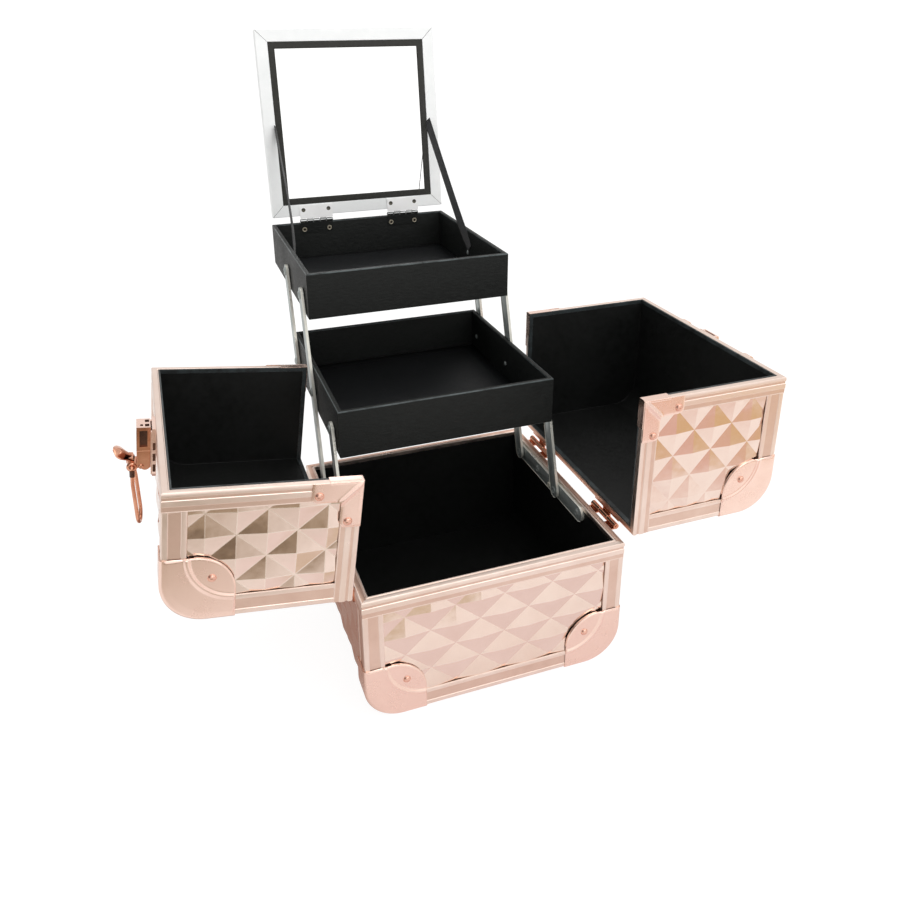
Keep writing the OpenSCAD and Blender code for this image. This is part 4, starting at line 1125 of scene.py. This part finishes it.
def mirror_hinges():
    w, fifth, z = MIRROR_W_LEAF, MIRROR_W_LEAF / 5, MIRROR_IN_Z
    up, low, pins, screws, eyelets = Piece(), Piece(), Piece(), Piece(), Piece()
    for sx in (-1, 1):
        at = move(sx * MIRROR_HINGE_X, 0, 0)
        hang = move(0, MIRROR_Y, MIRROR_Z) @ at
        ties = (-TIE_X, TIE_X)
        plate_with_holes(up, -w / 2, w / 2, -15.0, -2.4, z - 1.0, z,
                         [(x, SCREW_Y, 1.7) for x in ties], at)
        rolled(up, [(-1.5 * fifth + 0.2, -0.5 * fifth - 0.2), (0.5 * fifth + 0.2, 1.5 * fifth - 0.2)],
               1.8, at)
        neck = fifth / 2 - 0.3
        for side in (-1, 1):
            up.bar([(-neck, z - 1.0), (neck, z - 1.0), (neck, z), (-neck, z)],
                   at @ towards_front(side * fifth, -1.2, 0), 1.4, tag=1)
        rolled(low, [(-2.5 * fifth, -1.5 * fifth - 0.2), (-0.5 * fifth + 0.2, 0.5 * fifth - 0.2),
                     (1.5 * fifth + 0.2, 2.5 * fifth)], 1.8, hang)
        low.bar([(-w / 2, -12.0), (w / 2, -12.0), (w / 2, -2.2), (-w / 2, -2.2)],
                hang @ towards_front(0, -0.1, 0), 0.45)
        pins.lathe([(0.9, -w / 2 - 0.4), (0.9, w / 2 + 0.4)], hang @ towards_right(0, 0, 0), 12)
        for x in ties:
            screws.lathe([(1.95, 0.0), (1.95, -1.15), (1.65, -1.2), (1.2, -0.9), (0.5, -0.75)],
                         at @ move(x, SCREW_Y, z), 20)
            tie = hang @ towards_front(x, -0.5, TIE_Z)
            eyelets.lathe([(2.3, 0.0), (2.3, 0.35), (2.05, 0.75), (1.6, 0.75), (1.3, 0.4)], tie, 20)
            eyelets.lathe([(1.3, 0.3), (1.25, 0.5), (0.1, 0.46)], tie, 16, 1)
    up.make("mirror_hinge_leaves", MIRROR, ["white_nickel", "nickel"], bevel=0.12, limit=40)
    low.make("tray_hinge_leaves", MM, ["tray_vinyl", "nickel"], bevel=0.12, limit=40)
    pins.make("mirror_hinge_pins", MM, ["nickel"], smooth=40)
    screws.make("mirror_screws", MIRROR, ["screw"], smooth=30)
    eyelets.make("tray_hinge_rivets", MM, ["eyelet", "gap"], smooth=30)


# ---------- latch ----------
def latch_plate():
    """In the latch's frame: u along the lid from the split, y across, w out of the lid."""
    p = Piece()
    low, r = PLATE_T - 0.9, 6.0
    outline = ([(1.0, -PLATE_HALF), (PLATE_END - r, -PLATE_HALF)]
               + arc(PLATE_END - r, -PLATE_HALF + r, r, -90, 0, 6)[1:]
               + arc(PLATE_END - r, PLATE_HALF - r, r, 0, 90, 6) + [(1.0, PLATE_HALF)])
    p.bar(outline, SAME, low)
    for side in (-1, 1):
        p.bar([(3.0, 0.0), (PLATE_END - 3.5, 0.0), (PLATE_END - 5.0, 2.2), (3.0, 2.2)],
              frame_of((0, side * (PLATE_HALF - 0.3), low), (1, 0, 0), (0, -side, 0), (0, 0, 1)),
              0.9)
        face = frame_of((0, side * (PLATE_HALF - 0.12), 0), (1, 0, 0), (0, 0, 1), (0, side, 0))
        for u in (11.0, 19.0, 27.0):
            p.bar([(u, 0.3), (u + 5.5, 0.3), (u + 5.5, low - 0.3), (u, low - 0.3)], face, 0.16,
                  tag=1)
    p.make("latch_plate", LATCH, ["guard", "copper_shade"], bevel=0.5, segments=3, limit=40)


def latch_housing():
    """A pierced block with two cheeks that carry the lever's pin."""
    p = Piece()
    half, end, slot, start, tall = LATCH_HALF, HOUSING_END, 18.0, 1.0, LATCH_H - PLATE_T
    # The end face is done in the pale rose plate, a painted highlight on its lit face; its pockets
    # floor in near-black, painted shade in the holes.
    p.pockets(frame_of((start, -half, PLATE_T), (0, 1, 0), (0, 0, 1), (-1, 0, 0)), 2 * half, tall,
              [(1.8, 5.6, 0.7, 3.4, 2.4), (2.6, 5.2, 4.6, 6.4, 1.6), (8.4, 12.2, 0.7, 3.4, 2.4)], 2)
    p.tags = [t or 3 for t in p.tags]
    # Each side's long pocket floors in dark copper, painted shade in the recess.
    for side in (-1, 1):
        p.pockets(frame_of((start, side * half, PLATE_T), (1, 0, 0), (0, 0, 1), (0, side, 0)),
                  slot - start, tall, [(2.4, 14.2, 2.0, 6.9, 1.5)], 1)
    p.pockets(move(start, -half, LATCH_H), slot - start, 2 * half, [(3.0, 14.0, 4.2, 9.8, 0.35)], 0)
    # The wall at the slot's end is near-black: painted shade inside the slot.
    p.add([(slot, -half, PLATE_T), (slot, half, PLATE_T), (slot, half, LATCH_H),
           (slot, -half, LATCH_H)], [(0, 1, 2, 3)], 2)
    p.add([(start, -half, PLATE_T), (start, half, PLATE_T), (slot, half, PLATE_T),
           (slot, -half, PLATE_T)], [(0, 1, 2, 3)])
    cheek = ([(slot, 0.0), (end - 2.0, 0.0)] + arc(end - 3.2, 3.4, 3.2, -40, 50, 6)
             + arc(end - 4.6, tall - 3.6, 3.4, 30, 90, 6) + [(slot, tall)])
    for side in (-1, 1):
        p.bar(cheek, frame_of((0, side * half, PLATE_T), (1, 0, 0), (0, 0, 1), (0, -side, 0)), 1.6)
    p.bar([(slot, -half + 0.8), (end - 1.2, -half + 0.8), (end - 1.2, half - 0.8),
           (slot, half - 0.8)], move(0, 0, PLATE_T), 1.2)
    p.make("latch_housing", LATCH, ["hardware", "copper_shade", "gap", "guard"], bevel=0.35,
           segments=3, limit=40, merge=False)


def thumb_tab(piece):
    """A dished plate leaning out of the lever; each point is (u, w, half width)."""
    spine = [(25.2, 13.2, 5.0), (24.5, 15.0, 5.3), (23.6, 16.8, 5.7), (22.5, 18.8, 7.0),
             (21.2, 20.8, 8.5), (20.1, 22.6, 8.5), (19.2, 24.2, 7.4), (18.5, 25.5, 5.4),
             (18.1, 26.4, 2.4)]
    rows = []
    for i, (u, w, wide) in enumerate(spine):
        u0, w0, _ = spine[max(i - 1, 0)]
        u1, w1, _ = spine[min(i + 1, len(spine) - 1)]
        run = math.hypot(u1 - u0, w1 - w0)
        nu, nw = -(w1 - w0) / run, (u1 - u0) / run
        row = []
        for v in frange(0, 1, 14):
            v = v * 2 - 1
            dish = 1.3 * v * v - 0.6 * math.exp(-((i - 4) / 1.2) ** 2 - v * v * 5)
            row.append((u - nu * dish, v * wide, w - nw * dish))
        rows.append(row)
    piece.shell(rows, 1.2, out=(-1, 0, -0.5), probe=(4, 7))


def latch_lever():
    p = Piece()
    pin = move(LEVER_U, 0, LEVER_W) @ rotate(90, "X")
    p.lathe([(1.0, -7.7), (1.5, -7.5), (1.8, -7.1), (1.8, -7.0), (1.2, -7.0), (1.2, 7.0),
             (1.8, 7.0), (1.8, 7.1), (1.5, 7.5), (1.0, 7.7)], pin, 20)
    p.lathe([(2.2, -5.0), (2.2, 5.0)], pin, 20)
    knuckle = [(2.9, 0.0), (3.0, 3.4), (3.5, 3.8), (3.5, 4.6), (3.0, 5.2), (2.3, 5.5), (1.3, 5.5)]
    p.lathe([(r, -y) for r, y in knuckle[:0:-1]] + knuckle,
            move(BAIL_U, 0, BAIL_W) @ rotate(90, "X"), 28)
    p.bar([(-1.6, 0.0), (2.0, 0.0), (2.6, BAIL_W - LEVER_W), (-1.8, BAIL_W - LEVER_W)],
          towards_front(LEVER_U, 4.9, LEVER_W), 9.8)
    p.bar([(30.6, 13.2), (30.6, 17.0), (27.0, 17.4), (24.2, 17.8), (24.6, 14.2), (27.2, 13.6)],
          *across(-4.4, 4.4))
    thumb_tab(p)
    p.make("latch_lever", LATCH, ["hardware"], bevel=0.2, limit=45, smooth=40, merge=False)


def latch_bail():
    """A slightly twisted wire loop hanging from the lever's knuckle, with dark sleeves by the knuckle
    that are painted shade.
    """
    p = Piece()
    drop = move(BAIL_U, 0, BAIL_W) @ rotate(BAIL_TILT, "Y")
    leg = BAIL_LEN - BAIL_HALF
    path = [(0, -6.2, 0), (0, -BAIL_HALF + 0.9, 0), (0.9, -BAIL_HALF, 0)]
    path += [(u, -BAIL_HALF, 0) for u in frange(2.0, leg, 10)]
    path += [(leg + x, y, 0) for x, y in arc(0, 0, BAIL_HALF, -80, 80, 14)]
    path += [(u, BAIL_HALF, 0) for u in frange(leg, 2.0, 10)]
    path += [(0.9, BAIL_HALF, 0), (0, BAIL_HALF - 0.9, 0), (0, 6.2, 0)]
    twisted = []
    for u, y, _ in path:
        a = math.radians(-7.5) * min(1.0, u / 12.0)
        twisted.append((u, y * math.cos(a), y * math.sin(a)))
    p.tube(twisted, 1.3, drop, 12)
    # Dark copper sleeves on both legs next to the knuckle: painted shade under the knuckle.
    for near in (twisted[2:5], twisted[-3:-6:-1]):
        p.tube(near, 1.75, drop, 12, 1)
    for side in (-1, 1):
        p.lathe([(0.4, 8.9), (1.2, 8.7), (1.9, 8.0), (2.1, 7.2), (1.9, 6.4), (1.2, 5.8), (1.2, 5.2)],
                drop @ rotate(-90 * side, "X"), 20)
    p.tube([(0, -6.3, 0), (0, 6.3, 0)], 1.1, drop, 12)
    p.make("latch_bail", LATCH, ["hardware", "copper_shade"], smooth=60, merge=False)


def rounded(x0, x1, y0, y1, r, steps=5):
    """A rectangle with round corners, anticlockwise."""
    return (arc(x1 - r, y1 - r, r, 0, 90, steps) + arc(x0 + r, y1 - r, r, 90, 180, steps)
            + arc(x0 + r, y0 + r, r, 180, 270, steps) + arc(x1 - r, y0 + r, r, 270, 360, steps))


def across(y0, y1):
    """Placing and length for extruding a u-w section across the lid from y1 down to y0."""
    return towards_front(0, y1, 0), y1 - y0


def latch_catch():
    """In the right lid's top frame: a plate with a slotted hook bent up from it."""
    p = Piece()
    p.bar(rounded(0.0, 18.0, -11.0, 11.0, 2.5), SAME, 1.0)
    for y in (-7.5, 7.5):
        p.lathe([(1.6, 0.9), (1.6, 1.15), (1.1, 1.3), (0.2, 1.3)], move(13.5, y, 0), 18)
    hook = [(1.0, 0.8), (9.0, 0.8), (9.0, 4.8)] + arc(7.8, 4.8, 1.2, 0, 90, 5)[1:] + [(1.6, 6.0)]
    for y0, y1 in ((-9.0, -6.5), (6.5, 9.0)):
        p.bar(hook + [(1.0, 5.4)], *across(y0, y1))
    slotted = hook + [(1.0, 5.4), (1.0, 4.2), (7.0, 4.2), (7.0, 1.6), (1.0, 1.6)]
    p.bar(slotted, *across(-6.5, 6.5))
    p.make("latch_catch", RIGHT_TOP, bevel=0.25, segments=3, limit=40, merge=False)


def handle():
    """Two feet with ears, a bent wire turning in them, and a moulded grip on the wire."""
    u, y, w, rod, reach, bend, grip = 9.7, 49.0, 8.0, 2.2, 45.7, 6.0, 37.0
    feet, wire, soft = Piece(), Piece(), Piece()
    ear = ([(u - 5.4, 1.0), (u + 5.4, 1.0), (u + 5.0, 2.2)] + arc(u, w, 5.0, 0, 180, 14)
           + [(u - 5.0, 2.2)])
    for flip in FRONT_AND_REAR:
        feet.bar(rounded(1.0, 20.0, y - 13.0, y + 13.0, 4.0), flip, 1.2)
        place, length = across(y - 11.0, y - 3.4)
        feet.bar(ear, flip @ place, length)
        feet.lathe([(3.8, y - 3.6), (3.8, y - 3.0), (3.2, y - 2.7), (rod + 0.1, y - 2.7)],
                   flip @ towards_rear(u, 0, w), 22)
        for at_y in (y + 5.5, y + 10.0):
            for at_u in (5.0, 16.0):
                feet.lathe([(1.7, 1.1), (1.7, 1.4), (1.2, 1.6), (0.2, 1.6)],
                           flip @ move(at_u, at_y, 0), 16)
        path = ([(u, y - 10.0), (u, y - 5.0)] + arc(u + 2.4, y - 2.4, 2.4, 180, 90, 6)
                + arc(reach - bend, y - bend, bend, 90, 0, 10) + [(reach, grip - 1.0)])
        wire.tube([(x, v, w) for x, v in path], rod, flip, 18)
        wire.lathe([(rod, grip), (3.2, grip), (3.4, grip + 0.4), (3.2, grip + 1.2),
                    (rod, grip + 1.5)], flip @ towards_rear(reach, 0, w), 20)
    outline = []
    for v in frange(-grip, grip, 120):
        ends = min(1.0, (grip - abs(v)) / 2.5)
        ridge = 0.4 * max(0.0, math.cos(v * math.pi / 3.6)) ** 6 if abs(v) < grip - 6 else 0.0
        outline.append((3.4 + 2.5 * math.sqrt(max(0.0, 1 - (1 - ends) ** 2)) - ridge, v))
    soft.lathe(outline, towards_rear(reach, 0, w), 32)
    feet.make("handle_brackets", RIGHT_TOP, bevel=0.3, segments=3, limit=40, merge=False)
    wire.make("handle_bail", RIGHT_TOP, smooth=50, merge=False)
    soft.make("handle_grip", RIGHT_TOP, smooth=40)


# ---------- case hinges ----------
HINGE_LOOK = {"mats": ["hardware", "copper_shade"], "bevel": 0.15, "limit": 40}


def hinge_halves(piece, spans, up):
    """The leaves of one side, front and rear: knuckles over the given spans, and a screwed plate."""
    near = HALF_W - TRIM_IN - HINGE_X
    for sy in (-1, 1):
        at = move(HINGE_X, sy * HINGE_Y, HINGE_Z) @ Matrix.Diagonal((1, 1, up, 1))
        for a, b in spans:
            piece.lathe([(1.3, a), (BARREL_R - 0.3, a), (BARREL_R, a + 0.3), (BARREL_R, b - 0.3),
                         (BARREL_R - 0.3, b), (1.3, b)], at @ towards_rear(0, 0, 0), 20)
            piece.bar([(near, a + 0.4), (0.0, a + 0.4), (0.0, b - 0.4), (near, b - 0.4)],
                      at @ move(0, 0, -BARREL_R), 0.9)
        plane = at @ towards_right(near, -HINGE_LEN / 2, -BARREL_R - 11.0)
        holes = [(x, 5.5, 1.3) for x in (6.0, HINGE_LEN / 2, HINGE_LEN - 6.0)]
        plate_with_holes(piece, 0.0, HINGE_LEN, 0.0, 12.0, 0.0, 1.2, holes, plane)
        for x, y, r in holes:
            piece.lathe([(r + 0.3, 0.2), (r + 0.3, 0.9), (r - 0.3, 1.2), (0.3, 0.8)],
                        plane @ move(x, y, 0), 16, 1)


def case_hinges():
    sixth, end = HINGE_LEN / 6, HINGE_LEN / 2
    one, base, pins = Piece(), Piece(), Piece()
    hinge_halves(one, [(-3 * sixth, -sixth - 0.2), (sixth + 0.2, 3 * sixth)], 1)
    for flip in LEFT_AND_RIGHT:
        base.add(one.verts, one.faces, one.tags, flip)
        for sy in (-1, 1):
            pins.lathe([(0.5, -end - 0.8), (1.0, -end - 0.5), (1.0, end + 0.5), (0.5, end + 0.8)],
                       flip @ towards_rear(HINGE_X, sy * HINGE_Y, HINGE_Z), 14)
    base.make("base_hinge_leaves", MM, **HINGE_LOOK)
    pins.make("case_hinge_pins", MM, ["hardware"], smooth=40)
    for side, place in (("left", LEFT), ("right", RIGHT)):
        lid = Piece()
        hinge_halves(lid, [(-sixth + 0.2, sixth - 0.2)], -1)
        lid.make(side + "_hinge_leaves", place, **HINGE_LOOK)


# ---------- arms ----------
def flat_bar(piece, at, length, width, x0, x1):
    """A stamped strip in the y-z plane of at, round ended; the x1 side has a pressed rim."""
    r = width / 2
    m = at @ towards_right(x0, 0, 0)
    rows = []
    for inset, h in ((0.0, 0.0), (0.0, x1 - x0 - 0.4), (0.4, x1 - x0), (1.3, x1 - x0),
                     (1.9, x1 - x0 - 0.3)):
        q = r - inset
        rows.append([(x, y, h) for x, y in arc(0, 0, q, 90, 270, 14) + arc(length, 0, q, -90, 90, 14)])
    # Tag 1, the edge walls and their rounding, takes the pale steel: a painted edge highlight.
    piece.grid(rows, 0, m, loop=True, row_tags=[1, 1, 0, 0])
    piece.ends(rows[0], rows[-1], 0, m)


def arms():
    for node, y, z, length in (
            ("long_arms", PIVOT_Y, PIVOT_Z, ARM_LEN),
            ("lower_arms", PIVOT_Y - PIVOT_GAP, PIVOT_Z, ARM_LEN / 2),
            ("upper_arms", MID_FRONT + PIN_SPOTS[2], MID_TOP - PIN_DROP, ARM_LEN / 2)):
        p = Piece()
        for flip in LEFT_AND_RIGHT:
            flat_bar(p, flip @ move(0, y, z) @ rotate(ARM_SLOPE, "X"), length, ARM_W, ARM_OUT, ARM_IN)
        p.make(node, MM, ["steel", "steel_edge_highlight"], smooth=30)


def rails():
    """Rails in the base, with the studs that the arms turn on, rivets and a stop post."""
    rail, studs = Piece(), Piece()
    for flip in LEFT_AND_RIGHT:
        flat_bar(rail, flip @ move(0, RAIL_FRONT + RAIL_H / 2, PIVOT_Z),
                 RAIL_BACK - RAIL_FRONT - RAIL_H, RAIL_H, RAIL_OUT, RAIL_IN)
        inward = flip @ frame_of((0, 0, PIVOT_Z), (0, 1, 0), (0, 0, 1), (-1, 0, 0))
        for y in (PIVOT_Y, PIVOT_Y - PIVOT_GAP):
            studs.lathe([(2.0, -RAIL_OUT), (2.0, -ARM_IN), (3.5, -ARM_IN), (3.5, 0.6 - ARM_IN),
                         (2.9, 1.0 - ARM_IN), (2.0, 1.0 - ARM_IN), (1.5, 0.5 - ARM_IN),
                         (0.3, 0.4 - ARM_IN)], inward @ move(y, 0, 0), 22)
        for y in (PIVOT_Y - 34.0, PIVOT_Y - 106.0):
            studs.lathe([(3.2, -RAIL_IN), (3.2, 0.3 - RAIL_IN), (2.5, 0.95 - RAIL_IN),
                         (1.6, 1.25 - RAIL_IN), (1.4, 1.0 - RAIL_IN), (0.3, 0.95 - RAIL_IN)],
                        inward @ move(y, 0, 0), 22)
        studs.lathe([(2.6, -RAIL_IN), (2.6, 0.3 - ARM_IN), (2.1, 0.8 - ARM_IN), (0.4, 0.9 - ARM_IN)],
                    inward @ move(STOP_Y, 0, 0), 22, 1)
    rail.make("tray_rails", MM, ["steel", "steel_edge_highlight"], smooth=30)
    studs.make("rail_studs", MM, ["steel", "steel_post"], smooth=40)


def tray_pins(node, front, top, spots):
    """The pins that carry a tray, each with a dished head outside and a small dome inside."""
    p = Piece()
    for flip in LEFT_AND_RIGHT:
        for y in spots:
            p.lathe([(0.3, 82.9), (1.2, 83.0), (1.9, 83.2), (2.1, 83.5), (2.0, 83.6), (2.0, 90.2),
                     (3.6, 90.3), (3.5, 90.8), (2.9, 91.3), (1.9, 91.6), (1.6, 91.2), (0.3, 91.1)],
                    flip @ towards_right(0, front + y, top - PIN_DROP), 22)
    p.make(node, MM, ["steel"], smooth=35)


base_box()
lid_box("right", RIGHT)
lid_box("left", LEFT)
tray("mid_tray", MID_FRONT, MID_TOP)
tray("top_tray", TOP_FRONT, TOP_TOP)
mirror_lid()
mirror_hinges()
ribbons()
latch_plate()
latch_housing()
latch_lever()
latch_bail()
latch_catch()
handle()
case_hinges()
arms()
rails()
tray_pins("mid_tray_pins", MID_FRONT, MID_TOP, PIN_SPOTS)
tray_pins("top_tray_pins", TOP_FRONT, TOP_TOP, PIN_SPOTS[:2])


# ---------- stage ----------
FLOOR_VEIL = 0.8
# Tinted patches that shiny parts see on the floor: x, y, inner and outer radius, colour
PATCHES = ((-0.06, -0.245, 0.012, 0.045, (0.70, 0.60, 0.44)),
           (-0.008, -0.25, 0.008, 0.035, (0.72, 0.62, 0.48)),
           (-0.09, -0.215, 0.008, 0.035, (0.70, 0.60, 0.46)),
           (-0.17, 0.03, 0.07, 0.15, (0.38, 0.25, 0.21)),
           (-0.28, -0.55, 0.16, 0.33, (0.42, 0.35, 0.25)),
           (-0.22, -0.50, 0.02, 0.10, (0.16, 0.12, 0.085)),
           (0.40, -0.62, 0.16, 0.34, (0.82, 0.57, 0.50)),
           (0.56, -0.48, 0.10, 0.22, (0.77, 0.57, 0.33)))
# One more, in front of the base, that only steep rays see
BLUSH = (0.04, -0.2, 0.14, 0.24, (0.915, 0.815, 0.815))
WOBBLE, BACKDROP = 0.14, 1.12


def floor_material():
    """Pale matt floor with soft edged, slightly wobbly patches for shiny parts to reflect."""
    n = Nodes("pale_floor")
    tone = n.mix(n.noise(6.0, 4.0), (0.93, 0.925, 0.92), (0.96, 0.955, 0.95))
    n.finish(Base_Color=tone, Roughness=0.7, Normal=n.bump(n.noise(300.0), 0.05, 0.3))
    path = n.add("ShaderNodeLightPath")
    wobble = n.put(n.add("ShaderNodeTexNoise"), Scale=9.0, Vector=n.coords)
    shift = n.add("ShaderNodeVectorMath", operation="MULTIPLY_ADD")
    for k, value in enumerate((wobble.outputs["Color"], (WOBBLE, WOBBLE, 0.0), n.coords)):
        n.link(shift.inputs[k], value)
    incoming = n.add("ShaderNodeSeparateXYZ")
    n.link(incoming.inputs[0], n.add("ShaderNodeNewGeometry").outputs["Incoming"])
    steep = n.spread(incoming.outputs["Z"], 0.0, 1.0, 0.57, 0.67)
    surface = n.bsdf.outputs[0]
    for x, y, near, far, colour in (BLUSH, *PATCHES):
        gap = n.add("ShaderNodeVectorMath", operation="DISTANCE")
        n.link(gap.inputs[0], shift.outputs[0])
        gap.inputs[1].default_value = (x + WOBBLE / 2, y + WOBBLE / 2, 0.0)
        amount = n.spread(gap.outputs["Value"], 1.0, 0.0, near, far)
        if colour == BLUSH[4]:
            amount = n.math("MULTIPLY", amount, steep)
        amount = n.math("MULTIPLY", amount, path.outputs["Is Glossy Ray"])
        surface = n.glow(surface, amount, colour)
    veil = n.math("MULTIPLY", path.outputs["Is Camera Ray"], FLOOR_VEIL)
    n.link(n.out.inputs["Surface"], n.glow(surface, veil, (1.0, 1.0, 1.0), BACKDROP))
    return n.mat


def floor():
    mesh = bpy.data.meshes.new("floor")
    ring = [(40.0 * c, 40.0 * s, -0.0003) for c, s in circle(60)]
    mesh.from_pydata(ring, [], [tuple(range(len(ring)))])
    obj = bpy.data.objects.new("floor", mesh)
    mesh.materials.append(floor_material())
    bpy.context.scene.collection.objects.link(obj)


def world():
    """Shiny parts see a bright front and a dim left side; the camera sees plain white."""
    studio = bpy.data.worlds.new("studio")
    bpy.context.scene.world = studio
    t = Tree(studio)
    around = t.tree.nodes["Background"]
    t.put(around, Color=(1.0, 0.995, 0.99), Strength=0.9)
    split = t.add("ShaderNodeSeparateXYZ")
    t.link(split.inputs[0], t.add("ShaderNodeTexCoord").outputs["Generated"])
    side, front = (t.spread(split.outputs[axis], *span, interpolation_type="SMOOTHSTEP")
                   for axis, span in (("X", (0.30, 1.0, -0.75, -0.25)),
                                      ("Y", (1.28, 0.92, -0.95, -0.75))))
    glow, plain = t.add("ShaderNodeBackground"), t.add("ShaderNodeBackground")
    t.put(glow, Color=(1.0, 0.98, 0.965), Strength=t.math("MULTIPLY", side, front))
    t.put(plain, Color=(1.0, 1.0, 1.0), Strength=BACKDROP)
    path = t.add("ShaderNodeLightPath")
    surface = around.outputs[0]
    for ray, shader in (("Is Glossy Ray", glow), ("Is Camera Ray", plain)):
        surface = t.over(surface, path.outputs[ray], shader.outputs[0])
    t.link(t.tree.nodes["World Output"].inputs["Surface"], surface)


def lights():
    for name, spot, aim, size, power in (
            ("key", (0.5, -1.5, 1.9), (0, 0, 0.15), 1.4, 8.0),
            ("fill", (1.5, -0.6, 1.2), (0, 0, 0.15), 1.2, 3.5),
            ("top", (0.1, 0.5, 2.2), (0, 0, 0.1), 1.6, 6.0)):
        light = bpy.data.lights.new(name, "AREA")
        light.shape, light.size, light.energy = "DISK", size, power
        obj = bpy.data.objects.new(name, light)
        obj.location = spot
        obj.rotation_euler = (Vector(aim) - Vector(spot)).to_track_quat("-Z", "Y").to_euler()
        bpy.context.scene.collection.objects.link(obj)
    view = bpy.context.scene.view_settings
    view.view_transform, view.look = "Standard", "None"


def camera():
    cam = bpy.data.cameras.new("camera")
    cam.sensor_width, cam.lens = 36.0, 33.73
    cam.shift_x, cam.shift_y = -0.0024, -0.1199
    cam.clip_start, cam.clip_end = 0.02, 50.0
    obj = bpy.data.objects.new("camera", cam)
    obj.location = (-0.1946, -0.5413, 0.4682)
    look = Vector((0.3143, 0.8736, -0.3716))
    roll = Matrix.Rotation(math.radians(0.24), 3, look)
    obj.rotation_euler = (roll @ look.to_track_quat("-Z", "Y").to_matrix()).to_euler()
    bpy.context.scene.collection.objects.link(obj)
    bpy.context.scene.camera = obj


floor()
world()
lights()
camera()
